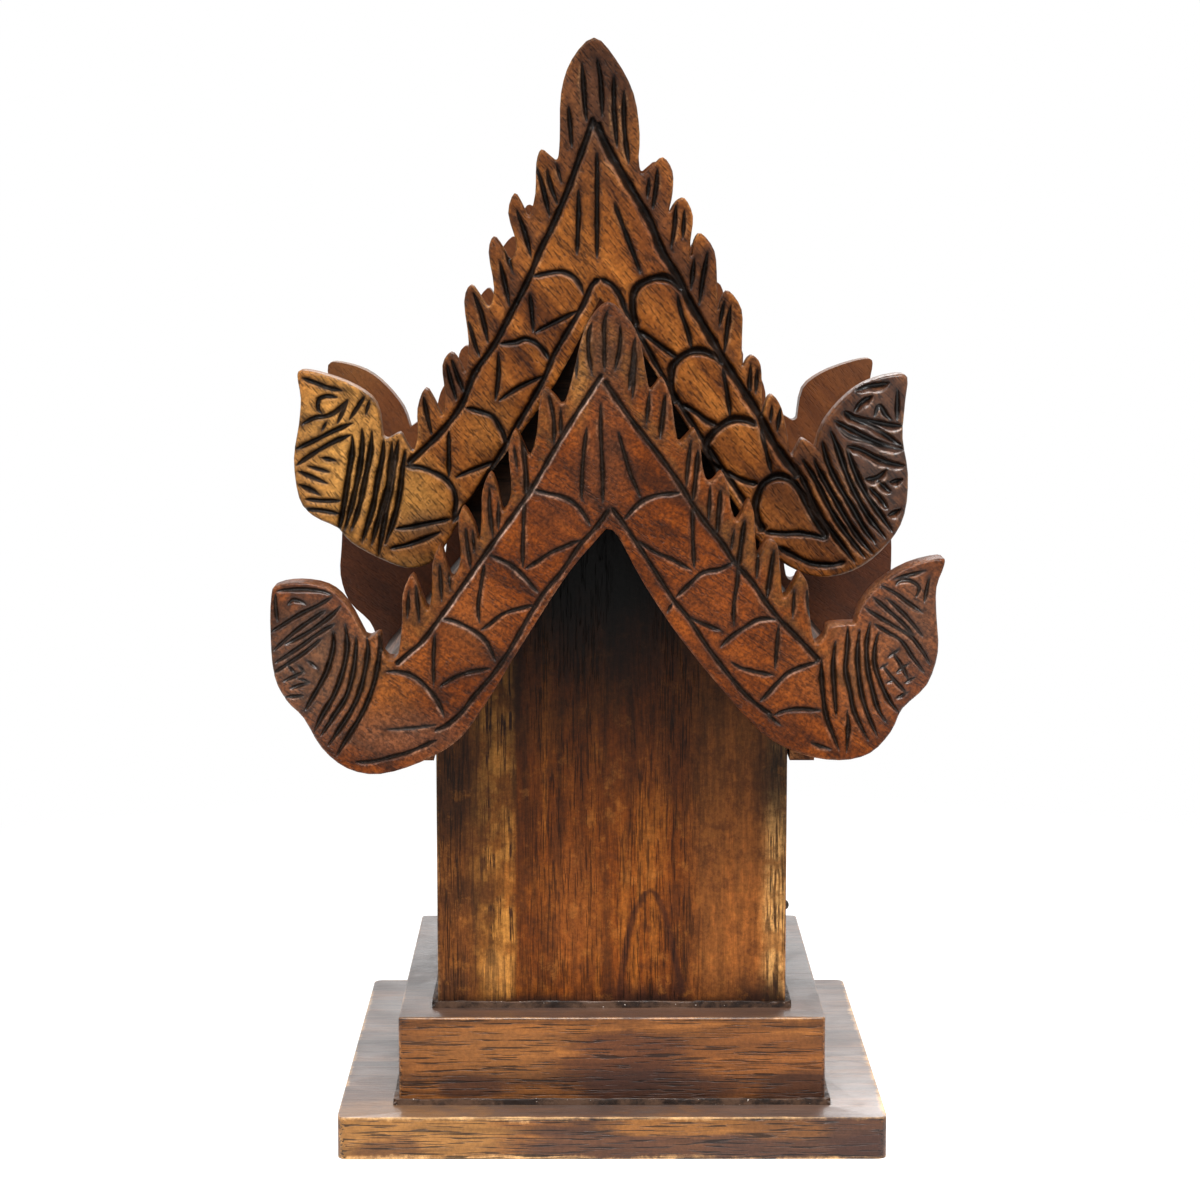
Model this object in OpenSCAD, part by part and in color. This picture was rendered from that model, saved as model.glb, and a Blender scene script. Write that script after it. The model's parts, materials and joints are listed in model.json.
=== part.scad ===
// Incense burner in the form of a small temple: stepped plinth, box body with
// an ash drawer, and a two-tier roof with carved gable boards that lifts off.
// Millimetres, +Z up, +Y to the rear, origin at the centre of the underside.

/* [Plinth] */
// Width of the base slab, left to right
base_w = 166; // [160:1:190]
// Depth of the base slab, front to rear
base_d = 163; // [156:1:184]
// Thickness of the base slab
base_t = 13; // [9:0.5:20]
// Corner radius of the base slab
base_corner_r = 3; // [1:0.5:6]
// Width of the plinth block
plinth_w = 130.5; // [124:0.5:146]
// Depth of the plinth block
plinth_d = 134; // [126:0.5:146]
// Height of the plinth block
plinth_h = 27; // [18:0.5:34]
// Corner radius of the plinth block
plinth_corner_r = 1.5; // [0.5:0.5:4]

/* [Body] */
// Width of the body, over the side walls
body_w = 107.5; // [104:0.5:118]
// Depth of the body, over the gable-end walls
body_d = 108; // [102:1:116]
// Thickness of the four walls
wall_t = 8; // [6:0.5:10]
// Height of the side walls above the plinth
wall_h = 113.8; // [104:0.2:124]
// Width of the flat peak of the gable-end walls
peak_w = 31; // [20:1:40]

/* [Ash drawer] */
// Width of the drawer front, along the long wall
drawer_w = 61; // [50:1:66]
// Height of the drawer front
drawer_front_h = 26.2; // [24:0.2:27]
// Height of the drawer's sides and back
drawer_side_h = 20; // [16:0.5:22]
// Gap between the drawer's back and the left wall
drawer_back_gap = 7.5; // [3:0.5:18]
// Thickness of the drawer's sides and back
drawer_side_t = 4; // [3:0.5:5]
// Thickness of the drawer's bottom
drawer_bottom_t = 3; // [2:0.5:4]
// Gap round the drawer front in its opening
drawer_gap = 0.5; // [0.3:0.1:0.8]
// Height of the runners' bearing face above the plinth
runner_rise = 6; // [5:0.5:8]
// Width of the bearing face under each drawer side
runner_seat_w = 6; // [4:0.5:8]
// Thickness of the guide strip beside each drawer side
guide_t = 3; // [2:0.5:4]
// Height of the guide strip above the bearing face
guide_h = 12; // [8:1:16]
// Running gap between the drawer and the runners' bearing faces
runner_gap = 0.3; // [0.2:0.1:0.5]
// Height of the brass ash liner
liner_h = 12; // [8:1:15]
// Thickness of the liner's sheet
liner_t = 1; // [0.6:0.1:1.4]
// Gap between the liner and the drawer's walls
liner_gap = 0.3; // [0.2:0.1:0.5]

/* [Drawer knob] */
// Radius of the knob's round plate
knob_plate_r = 5; // [4:0.5:7]
// Thickness of the knob's plate
knob_plate_t = 0.5; // [0.4:0.1:1]
// Radius of the knob's neck and of its shank
knob_neck_r = 1; // [0.8:0.1:1.4]
// Radius of the knob's round head
knob_head_r = 1.8; // [1.6:0.1:2.6]
// Distance from the drawer front to the centre of the head
knob_reach = 2.7; // [2.6:0.1:5]
// Radial fit of the shank in its hole
shank_fit = 0.05; // [0.02:0.01:0.1]

/* [Grate and cup] */
// Height of the grate's cleats above the plinth
cleat_rise = 36; // [35:0.5:44]
// Width of the cleats
cleat_w = 6; // [4:0.5:8]
// Height of the cleats
cleat_h = 6; // [4:0.5:7]
// Gap between the cleats' ends and the side walls
cleat_end_gap = 0.5; // [0.2:0.1:1]
// Thickness of the pierced grate
grate_t = 1.5; // [1:0.1:2.5]
// Gap between the grate and the walls
grate_gap = 0.3; // [0.2:0.1:0.6]
// Radius of the grate's holes
grate_hole_r = 2.2; // [1.5:0.1:3]
// Pitch of the grate's holes
grate_pitch = 13; // [11:0.5:16]
// Holes across the grate each way
grate_rows = 5; // [3:2:5]
// Rim radius of the incense cup
cup_r = 21; // [16:0.5:28]
// Radius of the cup's foot
cup_foot_r = 13; // [9:0.5:15]
// Height of the incense cup
cup_h = 14; // [11:0.5:22]
// Wall thickness of the cup
cup_t = 1.5; // [1:0.1:2.5]

/* [Lower roof] */
// Pitch of the lower roof, degrees
lower_pitch = 50; // [47:0.5:53]
// Thickness of the lower roof panels
lower_panel_t = 5; // [4:0.5:7]
// Reach of the lower roof panels past the side walls
lower_eave_out = 24; // [18:1:30]
// Gap over the side walls' tops, at their outer corners
wall_top_gap = 0.5; // [0.3:0.1:1]
// Distance from the body to the outer face of the lower gable boards
lower_overhang = 45; // [38:1:54]
// Thickness of the lower gable boards
lower_board_t = 11; // [9:0.5:13]
// Reach of the lower boards' tails past the panels' eaves
lower_tail_out = 20; // [16:0.5:24]
// Width of the locating battens under the eaves
batten_w = 7.5; // [5:0.5:10]
// Distance the battens reach down the side walls
batten_drop = 36.5; // [20:0.5:50]
// Gap between the roof's locating pieces and the walls
roof_fit_gap = 0.7; // [0.4:0.1:1.2]
// Thickness of the two ties under the ridge
tie_t = 7; // [5:0.5:9]
// Height of the ties at their ends
tie_end_h = 6; // [4:0.5:10]
// Width of the smoke vent along the lower ridge
vent_w = 8; // [5:0.5:12]
// Length of the smoke vent
vent_len = 66; // [50:1:70]
// Width of each side of the ridge strips
ridge_side_w = 14; // [10:0.5:18]
// Thickness of the ridge strips
ridge_t = 3; // [2:0.5:4]

/* [Upper roof] */
// Pitch of the upper roof, degrees
upper_pitch = 60; // [58:0.5:62]
// Height of the upper ridge above the lower ridge
tier_rise = 74; // [70:0.5:80]
// Thickness of the upper roof panels
upper_panel_t = 5; // [4:0.5:6]
// Sideways offset of the upper roof over the lower one
upper_shift = -3; // [-5:0.5:5]
// Drop of the rear upper gable board below the front one
upper_rear_drop = 2; // [0:0.5:5]
// Distance the upper eaves stand inside the lower ones
upper_setback = 16; // [12:0.5:22]
// Distance from the body to the outer face of the upper gable boards
upper_overhang = 6; // [3:0.5:12]
// Thickness of the upper gable boards
upper_board_t = 10; // [8:0.5:12]
// Reach of the upper boards' tails past the upper eaves
upper_tail_out = 30.5; // [26:0.5:34]
// Thickness of the two ribs that carry the upper roof
rib_t = 6; // [4:0.5:8]
// Half width of the ribs
rib_half_w = 45; // [38:1:48]
// Distance from the upper boards' backs to the ribs
rib_setback = 2; // [0:0.5:6]
// Radius of the smoke hole in each rib
rib_hole_r = 9; // [6:0.5:12]
// Height of the smoke hole's centre above the lower ridge
rib_hole_rise = 27; // [24:0.5:32]

/* [Screws] */
// Shank radius of the base screws
screw_r = 1.75; // [1.4:0.05:2]
// Head radius of the base screws
screw_head_r = 3.5; // [3:0.1:4.2]
// Depth of the screws' heads below the underside
screw_recess = 0.6; // [0.4:0.1:1.2]
// Length of the base screws
screw_len = 60; // [50:1:70]
// Distance between the screws along a gable-end wall
screw_spacing = 70; // [50:1:84]
// Radial clearance of the screws in their holes
screw_gap = 0.05; // [0.02:0.01:0.1]

/* [Hidden] */

$fn = 64;
cut = 1; // overshoot of every cutting solid

dark_teak = "#5a3018";
mid_teak = "#7d451f";
red_teak = "#7a3a1c";
gold_teak = "#94591f";
aged_brass = "#9a7a35";
dark_iron = "#2c2622";

// Heights and faces that the pieces share
plinth_z = base_t + plinth_h;
wall_top_z = plinth_z + wall_h;
inner_x = body_w / 2 - wall_t;
inner_y = body_d / 2 - wall_t;

// Roof lines: height of a roof face at a distance x from the ridge
lower_rise = tan(lower_pitch);
upper_rise = tan(upper_pitch);
lower_under_z = wall_top_z + wall_top_gap + lower_rise * body_w / 2;
lower_ridge_z = lower_under_z + lower_panel_t / cos(lower_pitch);
upper_ridge_z = lower_ridge_z + tier_rise;
upper_under_z = upper_ridge_z - upper_panel_t / cos(upper_pitch);
function lower_top(x) = lower_ridge_z - lower_rise * x;
function lower_under(x) = lower_under_z - lower_rise * x;
function upper_under(x) = upper_under_z - upper_rise * x;

// Faces of the gable boards and ribs, measured from the centre along Y
lower_board_y = body_d / 2 + lower_overhang;
lower_back_y = lower_board_y - lower_board_t;
upper_board_y = body_d / 2 + upper_overhang;
upper_back_y = upper_board_y - upper_board_t;
rib_y = upper_back_y - rib_setback;
tie_y = inner_y - roof_fit_gap;

// Reach of the roof panels, and the gable boards' widths
lower_reach = body_w / 2 + lower_eave_out;
upper_reach = lower_reach - upper_setback;
lower_board_w = 2 * (lower_reach + lower_tail_out);
upper_board_w = 2 * (upper_reach + upper_tail_out);

// Drawer
drawer_z = plinth_z + runner_rise + runner_gap;
drawer_back_x = -inner_x + drawer_back_gap;
drawer_len = inner_x - drawer_back_x;
drawer_inner_y = drawer_w / 2 - drawer_side_t;
knob_z = drawer_z + drawer_front_h / 2;

// Grate
cleat_z = plinth_z + cleat_rise;
grate_z = cleat_z + cleat_h;
screw_y = body_d / 2 - wall_t / 2;

// The gable boards are hand-carved, so their two sides are not quite alike. Each
// run of points is [across, above the ridge line], as drawn for the widths and
// pitches below, and a smooth curve is taken through it.
drawn_lower_w = 196;
drawn_lower_pitch = 50;
drawn_upper_w = 185;
drawn_upper_pitch = 60;
drawn_upper_centre = -3;
curve_steps = 3;

lower_left_tail = [[-2, -33], [-12.4, -45.2], [-22.5, -60.6], [-30, -72.6], [-37.2, -84.4],
    [-45, -94.8], [-56, -101.4], [-68, -105], [-77.5, -103.2], [-85, -97.2], [-90, -88.4],
    [-95, -83.2], [-98.4, -76], [-99.4, -64], [-99, -52.2], [-97.4, -49.6], [-91, -48.6],
    [-83, -50], [-77.4, -54.8], [-72.2, -64.4]];
lower_left_notch = [[-70.6, -64.8], [-67.7, -63.7], [-67.2, -68.6], [-65, -71],
    [-62.4, -69.4]];
lower_left_teeth = [
    [[-61.2, -60], [-60.9, -52], [-58.3, -46.6], [-56, -51.6], [-53.8, -56.4]],
    [[-52.5, -52], [-52.2, -43], [-50, -38], [-48.3, -43.4], [-46.6, -47.4]],
    [[-44.1, -42], [-44.7, -31], [-43.1, -26.9], [-40.2, -31.6], [-38.7, -36.2]],
    [[-38, -30], [-37.7, -22], [-35.3, -16.9], [-33.2, -21.6], [-31.7, -27.8]],
    [[-29.3, -22], [-30.1, -10], [-28.1, -4.4], [-25.8, -8.6], [-23.9, -11.8]],
    [[-21.9, -5], [-21.2, 3], [-19.5, 7.6], [-16.7, 5.4], [-14, 3.2]]];
lower_finial = [[-11.2, 12.6], [-9.5, 20], [-7, 26.8], [-1.6, 32.2], [3.8, 28],
    [7.6, 21.6], [9.3, 13], [10.5, 7.4]];
lower_right_teeth = [
    [[12, 8.4], [14.1, 10.5], [16.6, 5], [17.6, -2], [18.9, -7.8]],
    [[21, -6.4], [23.5, -4.3], [25.2, -9.4], [25.8, -15], [27.3, -19.4]],
    [[29.2, -19], [31.5, -16.8], [33.5, -21.4], [33.9, -26], [35.5, -30.6]],
    [[37.2, -28.6], [39.2, -25], [40.7, -28.4], [41, -34], [41.8, -40.4]],
    [[43, -39.2], [45, -36.2], [47.6, -37.8], [48.5, -45], [49.4, -53]],
    [[52.3, -49.4], [54.1, -46.1], [56.6, -49.6], [57.1, -58], [58.6, -66.2]]];
lower_right_notch = [[61.4, -64.6], [62.4, -61.6], [66, -60.9], [70.4, -60.8]];
lower_right_tail = [[72, -55.6], [77.4, -49], [86, -43.8], [95, -41.6], [95.9, -43.6],
    [93.8, -50], [94, -59], [94.5, -69], [91.4, -78.6], [84.4, -85.6], [81, -92.6],
    [75, -98.8], [66, -101], [54.6, -99], [43.4, -92.8], [34, -82.6], [20.4, -66],
    [9.2, -49.4], [1.4, -35]];

upper_left_tail = [[-3.6, -42], [-17, -67.5], [-32, -88.6], [-42.6, -102.4],
    [-49, -114.2], [-54.6, -121.4], [-62, -123.2], [-71, -120], [-79, -115.4],
    [-83, -111], [-90.2, -107.4], [-94.4, -102], [-95.8, -90], [-94.2, -80],
    [-93.5, -72], [-94.5, -65], [-92.6, -63.5], [-86, -64.9], [-77.2, -68.4],
    [-71, -73.6], [-69.2, -83.4]];
upper_left_notch = [[-67.6, -84.2], [-64, -82.4], [-62.2, -85.4], [-60, -88]];
upper_left_teeth = [
    [[-58.4, -83], [-58.5, -75], [-56.2, -69], [-53.4, -72.8], [-51.2, -77]],
    [[-50.3, -70], [-50.9, -62], [-48.5, -58.2], [-45.9, -60.8], [-44, -64.2]],
    [[-43, -55], [-44.3, -43], [-42.3, -38], [-39.4, -41.4], [-36.8, -44.6]],
    [[-35.3, -39], [-36.9, -28.4], [-35.4, -23.6], [-32.9, -26.4], [-30.4, -30.4]],
    [[-28.6, -26], [-31, -16.8], [-29.1, -10.8], [-26.8, -14], [-24.8, -17.4]],
    [[-22.9, -11], [-22.6, -2], [-21.1, 2.1], [-18.4, 0.3], [-16.3, -0.8]]];
upper_finial = [[-15.6, 5], [-15.2, 18.6], [-12, 28.4], [-5.4, 34.8], [1, 28.6],
    [6.4, 18.4], [8.2, 6.4], [7.8, -2.6], [9, -5.2]];
upper_right_teeth = [
    [[12, -2.6], [15.1, -0.2], [18, -4.4], [18, -11], [17, -16.2]],
    [[19, -13.2], [21.6, -12.3], [24.1, -17.6], [23.4, -25], [23.6, -29.6]],
    [[24.5, -24.8], [26.6, -22.7], [30.6, -28], [31.4, -37], [31.6, -45.6]],
    [[33, -41.6], [35.1, -39.9], [38.8, -45.4], [39, -54], [39, -62.4]],
    [[40.6, -60.2], [42.4, -59.2], [44.6, -62], [45, -70], [45.1, -77.2]],
    [[46.6, -72.4], [48.5, -71.1], [51, -75], [52.6, -82], [54, -89.2]]];
upper_right_notch = [[56, -86.2], [57.6, -84.2], [61.2, -86.6]];
upper_right_tail = [[63.6, -79.8], [69.2, -72.6], [76, -67.4], [84.4, -64.8],
    [88.7, -65.6], [88.1, -73.4], [87.5, -84], [89.3, -95], [88.4, -107],
    [83.8, -115.4], [76, -122.6], [66, -126], [56.8, -124.4], [46.2, -117.4],
    [38, -105.4], [21.6, -78.8], [8.4, -57.2]];

// Catmull-Rom curve through a list of points, with its ends held
function spline_point(a, b, c, d, t) =
    0.5 * ((2 * b) + (c - a) * t + (2 * a - 5 * b + 4 * c - d) * t * t
        + (3 * b - a - 3 * c + d) * t * t * t);
function spline(p) = [for (i = [0:len(p) - 2], s = [0:curve_steps - 1])
    spline_point(p[max(i - 1, 0)], p[i], p[i + 1], p[min(i + 2, len(p) - 1)],
        s / curve_steps)];
function joined(runs) = [for (run = runs, point = run) point];

lower_outline = concat(
    spline(lower_left_tail),
    spline(concat([lower_left_tail[len(lower_left_tail) - 1]], lower_left_notch,
        joined(lower_left_teeth), lower_finial, joined(lower_right_teeth),
        lower_right_notch)),
    spline(concat([lower_right_notch[len(lower_right_notch) - 1]], lower_right_tail,
        [lower_left_tail[0]])));
upper_outline = concat(
    spline(upper_left_tail),
    spline(concat([upper_left_tail[len(upper_left_tail) - 1]], upper_left_notch,
        joined(upper_left_teeth), upper_finial, joined(upper_right_teeth),
        upper_right_notch)),
    spline(concat([upper_right_notch[len(upper_right_notch) - 1]], upper_right_tail,
        [upper_left_tail[0]])));

// Rectangle with round corners, centred
module round_rect(w, d, r) {
    square([w - 2 * r, d], center = true);
    square([w, d - 2 * r], center = true);
    for (x = [-1, 1], y = [-1, 1])
        translate([x * (w / 2 - r), y * (d / 2 - r)]) circle(r);
}

// A gable-shaped outline, [x, z], given its thickness from y towards -Y
module from_gable(y, t) {
    translate([0, y, 0]) rotate([90, 0, 0]) linear_extrude(t) children();
}

// The same, over a length centred on the origin
module along_roof(length) {
    from_gable(length / 2, length) children();
}

module at_screws(z) {
    for (x = [-1, 1], y = [-1, 1])
        translate([x * screw_spacing / 2, y * screw_y, z]) children();
}

module base_slab() {
    color(mid_teak) difference() {
        linear_extrude(base_t) round_rect(base_w, base_d, base_corner_r);
        at_screws(-cut) cylinder(r = screw_r + screw_gap, h = base_t + 2 * cut);
        at_screws(-cut) cylinder(r = screw_head_r + screw_gap, h = screw_recess + cut);
        at_screws(screw_recess) cylinder(r1 = screw_head_r + screw_gap,
            r2 = screw_r + screw_gap, h = screw_head_r - screw_r);
    }
}

module plinth_block() {
    color(dark_teak) difference() {
        translate([0, 0, base_t])
            linear_extrude(plinth_h) round_rect(plinth_w, plinth_d, plinth_corner_r);
        at_screws(base_t - cut) cylinder(r = screw_r + screw_gap, h = plinth_h + 2 * cut);
    }
}

module end_wall() {
    difference() {
        from_gable(-body_d / 2 + wall_t, wall_t)
            polygon([[-body_w / 2, plinth_z], [body_w / 2, plinth_z],
                [body_w / 2, lower_under(body_w / 2)], [peak_w / 2, lower_under(peak_w / 2)],
                [-peak_w / 2, lower_under(peak_w / 2)],
                [-body_w / 2, lower_under(body_w / 2)]]);
        for (x = [-1, 1]) translate([x * screw_spacing / 2, -screw_y, plinth_z - cut])
            cylinder(r = screw_r + screw_gap,
                h = screw_recess + screw_len + screw_gap - plinth_z + cut);
    }
}

module front_wall() {
    color(mid_teak) end_wall();
}

module rear_wall() {
    color(mid_teak) rotate([0, 0, 180]) end_wall();
}

module side_wall() {
    translate([inner_x, -inner_y, plinth_z]) cube([wall_t, 2 * inner_y, wall_h]);
}

module left_wall() {
    color(mid_teak) rotate([0, 0, 180]) side_wall();
}

module right_wall() {
    color(mid_teak) difference() {
        side_wall();
        translate([inner_x - cut, -drawer_w / 2 - drawer_gap, plinth_z + runner_rise])
            cube([wall_t + 2 * cut, drawer_w + 2 * drawer_gap,
                drawer_front_h + runner_gap + drawer_gap]);
    }
}

module runner() {
    seat_y = drawer_w / 2 + drawer_gap;
    color(dark_teak) translate([-inner_x, 0, plinth_z]) rotate([90, 0, 90])
        linear_extrude(2 * inner_x) polygon([[seat_y - runner_seat_w, 0],
            [seat_y + guide_t, 0], [seat_y + guide_t, runner_rise + guide_h],
            [seat_y, runner_rise + guide_h], [seat_y, runner_rise],
            [seat_y - runner_seat_w, runner_rise]]);
}

module near_runner() {
    mirror([0, 1, 0]) runner();
}

module far_runner() {
    runner();
}

module cleat() {
    length = 2 * (inner_x - cleat_end_gap);
    color(dark_teak) translate([-length / 2, inner_y - cleat_w, cleat_z])
        cube([length, cleat_w, cleat_h]);
}

module near_cleat() {
    mirror([0, 1, 0]) cleat();
}

module far_cleat() {
    cleat();
}

module base_screws() {
    neck = screw_head_r - screw_r;
    color(dark_iron) at_screws(screw_recess) rotate_extrude()
        polygon([[0, 0], [screw_head_r, 0], [screw_r, neck],
            [screw_r, screw_len - 2 * screw_r], [0, screw_len]]);
}

module incense_grate() {
    span = (grate_rows - 1) / 2;
    color(aged_brass) translate([0, 0, grate_z]) difference() {
        translate([-inner_x + grate_gap, -inner_y + grate_gap, 0])
            cube([2 * (inner_x - grate_gap), 2 * (inner_y - grate_gap), grate_t]);
        for (i = [-span:span], j = [-span:span])
            translate([i * grate_pitch, j * grate_pitch, -cut])
                cylinder(r = grate_hole_r, h = grate_t + 2 * cut);
    }
}

module incense_cup() {
    color(aged_brass) translate([0, 0, grate_z + grate_t]) rotate_extrude($fn = 96)
        polygon([[0, 0], [cup_foot_r, 0], [cup_foot_r + cup_t, cup_t],
            [cup_r - cup_t / 2, cup_h * 0.55], [cup_r, cup_h], [cup_r - cup_t, cup_h],
            [cup_r - 2 * cup_t, cup_h * 0.55], [cup_foot_r, 2 * cup_t], [0, 2 * cup_t]]);
}

module drawer_front() {
    color(mid_teak) difference() {
        translate([inner_x, -drawer_w / 2, drawer_z]) cube([wall_t, drawer_w, drawer_front_h]);
        translate([inner_x - cut, 0, knob_z]) rotate([0, 90, 0])
            cylinder(r = knob_neck_r + shank_fit, h = wall_t + 2 * cut);
    }
}

module drawer_side() {
    color(dark_teak) translate([drawer_back_x, drawer_inner_y, drawer_z])
        cube([drawer_len, drawer_side_t, drawer_side_h]);
}

module drawer_near_side() {
    mirror([0, 1, 0]) drawer_side();
}

module drawer_far_side() {
    drawer_side();
}

module drawer_back() {
    color(dark_teak) translate([drawer_back_x, -drawer_inner_y, drawer_z])
        cube([drawer_side_t, 2 * drawer_inner_y, drawer_side_h]);
}

module drawer_bottom() {
    color(dark_teak) translate([drawer_back_x + drawer_side_t, -drawer_inner_y, drawer_z])
        cube([drawer_len - drawer_side_t, 2 * drawer_inner_y, drawer_bottom_t]);
}

module drawer_knob() {
    face = body_w / 2;
    neck_end = knob_reach - sqrt(pow(knob_head_r, 2) - pow(knob_neck_r, 2));
    head = [for (a = [asin(knob_neck_r / knob_head_r) - 180:15:0])
        [-knob_head_r * sin(a), knob_reach + knob_head_r * cos(a)]];
    color(dark_iron) translate([face, 0, knob_z]) rotate([0, 90, 0]) rotate_extrude($fn = 48)
        polygon(concat([[0, -wall_t], [knob_neck_r, -wall_t], [knob_neck_r, 0],
            [knob_plate_r, 0], [knob_plate_r, knob_plate_t], [knob_neck_r, knob_plate_t],
            [knob_neck_r, neck_end]], head, [[0, knob_reach + knob_head_r]]));
}

module ash_liner() {
    x0 = drawer_back_x + drawer_side_t + liner_gap;
    length = inner_x - liner_gap - x0;
    width = 2 * (drawer_inner_y - liner_gap);
    color(aged_brass) translate([x0, -width / 2, drawer_z + drawer_bottom_t]) difference() {
        cube([length, width, liner_h]);
        translate([liner_t, liner_t, liner_t])
            cube([length - 2 * liner_t, width - 2 * liner_t, liner_h]);
    }
}

// Cross-section of a roof panel on +X, from the ridge to the eave, cut square
module panel_section(ridge_z, pitch, t, reach) {
    eave_z = ridge_z - tan(pitch) * reach;
    polygon([[0, ridge_z], [reach, eave_z],
        [reach - t * sin(pitch), eave_z - t * cos(pitch)],
        [0, ridge_z - t / cos(pitch)]]);
}

// Cross-section of a ridge strip that lies on both roof faces
module ridge_section(ridge_z, pitch) {
    side = ridge_side_w * cos(pitch);
    drop = ridge_side_w * sin(pitch);
    top = ridge_t / cos(pitch);
    polygon([[0, ridge_z], [side, ridge_z - drop], [side, ridge_z - drop + top],
        [0, ridge_z + top], [-side, ridge_z - drop + top], [-side, ridge_z - drop]]);
}

module lower_panel() {
    color(dark_teak) difference() {
        along_roof(2 * lower_back_y)
            panel_section(lower_ridge_z, lower_pitch, lower_panel_t, lower_reach);
        translate([-vent_w / 2, -vent_len / 2, lower_under(vent_w)])
            cube([vent_w, vent_len, lower_ridge_z + cut - lower_under(vent_w)]);
    }
}

module lower_left_panel() {
    mirror([1, 0, 0]) lower_panel();
}

module lower_right_panel() {
    lower_panel();
}

module batten() {
    x0 = body_w / 2 + roof_fit_gap;
    x1 = x0 + batten_w;
    color(dark_teak) along_roof(body_d) polygon([[x0, wall_top_z - batten_drop],
        [x1, wall_top_z - batten_drop], [x1, lower_under(x1)], [x0, lower_under(x0)]]);
}

module left_batten() {
    mirror([1, 0, 0]) batten();
}

module right_batten() {
    batten();
}

module roof_tie() {
    end_x = inner_x - roof_fit_gap;
    foot_z = lower_under(end_x) - tie_end_h;
    color(dark_teak) from_gable(-tie_y + tie_t, tie_t) polygon([[-end_x, foot_z],
        [end_x, foot_z], [end_x, lower_under(end_x)], [0, lower_under(0)],
        [-end_x, lower_under(end_x)]]);
}

module front_tie() {
    roof_tie();
}

module rear_tie() {
    rotate([0, 0, 180]) roof_tie();
}

module lower_ridge() {
    color(dark_teak) from_gable(-rib_y, lower_back_y - rib_y)
        ridge_section(lower_ridge_z, lower_pitch);
}

module lower_front_ridge() {
    lower_ridge();
}

module lower_rear_ridge() {
    rotate([0, 0, 180]) lower_ridge();
}

// Gable board: an outline drawn about the ridge line, stretched to its width and pitch
module gable_board(outline, centre, ridge_z, wide, high, back_y, t) {
    from_gable(-back_y, t) translate([0, ridge_z]) scale([wide, high])
        translate([-centre, 0]) polygon(outline);
}

module lower_board() {
    wide = lower_board_w / drawn_lower_w;
    color(red_teak) gable_board(lower_outline, 0, lower_ridge_z, wide,
        wide * lower_rise / tan(drawn_lower_pitch), lower_back_y, lower_board_t);
}

module lower_front_board() {
    lower_board();
}

module lower_rear_board() {
    rotate([0, 0, 180]) lower_board();
}

module rib() {
    color(dark_teak) difference() {
        from_gable(-rib_y + rib_t, rib_t) polygon([[0, lower_top(0)],
            [rib_half_w, lower_top(rib_half_w)],
            [rib_half_w, upper_under(rib_half_w - upper_shift)],
            [upper_shift, upper_under(0)],
            [-rib_half_w, upper_under(rib_half_w + upper_shift)],
            [-rib_half_w, lower_top(rib_half_w)]]);
        translate([upper_shift, -rib_y + rib_t + cut, lower_ridge_z + rib_hole_rise])
            rotate([90, 0, 0]) cylinder(r = rib_hole_r, h = rib_t + 2 * cut);
    }
}

module front_rib() {
    rib();
}

module rear_rib() {
    mirror([0, 1, 0]) rib();
}

module upper_panel() {
    color(dark_teak) along_roof(2 * upper_back_y)
        panel_section(upper_ridge_z, upper_pitch, upper_panel_t, upper_reach);
}

module upper_left_panel() {
    translate([upper_shift, 0, 0]) mirror([1, 0, 0]) upper_panel();
}

module upper_right_panel() {
    translate([upper_shift, 0, 0]) upper_panel();
}

module upper_ridge() {
    color(dark_teak) translate([upper_shift, 0, 0]) along_roof(2 * upper_back_y)
        ridge_section(upper_ridge_z, upper_pitch);
}

module upper_board() {
    wide = upper_board_w / drawn_upper_w;
    color(gold_teak) gable_board(upper_outline, drawn_upper_centre, upper_ridge_z, wide,
        wide * upper_rise / tan(drawn_upper_pitch), upper_back_y, upper_board_t);
}

module upper_front_board() {
    translate([upper_shift, 0, 0]) upper_board();
}

module upper_rear_board() {
    translate([upper_shift, 0, -upper_rear_drop]) rotate([0, 0, 180]) upper_board();
}

base_slab();
plinth_block();
front_wall();
rear_wall();
left_wall();
right_wall();
near_runner();
far_runner();
near_cleat();
far_cleat();
base_screws();
incense_grate();
incense_cup();
drawer_front();
drawer_near_side();
drawer_far_side();
drawer_back();
drawer_bottom();
drawer_knob();
ash_liner();
lower_left_panel();
lower_right_panel();
left_batten();
right_batten();
front_tie();
rear_tie();
lower_front_ridge();
lower_rear_ridge();
lower_front_board();
lower_rear_board();
front_rib();
rear_rib();
upper_left_panel();
upper_right_panel();
upper_ridge();
upper_front_board();
upper_rear_board();
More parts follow.
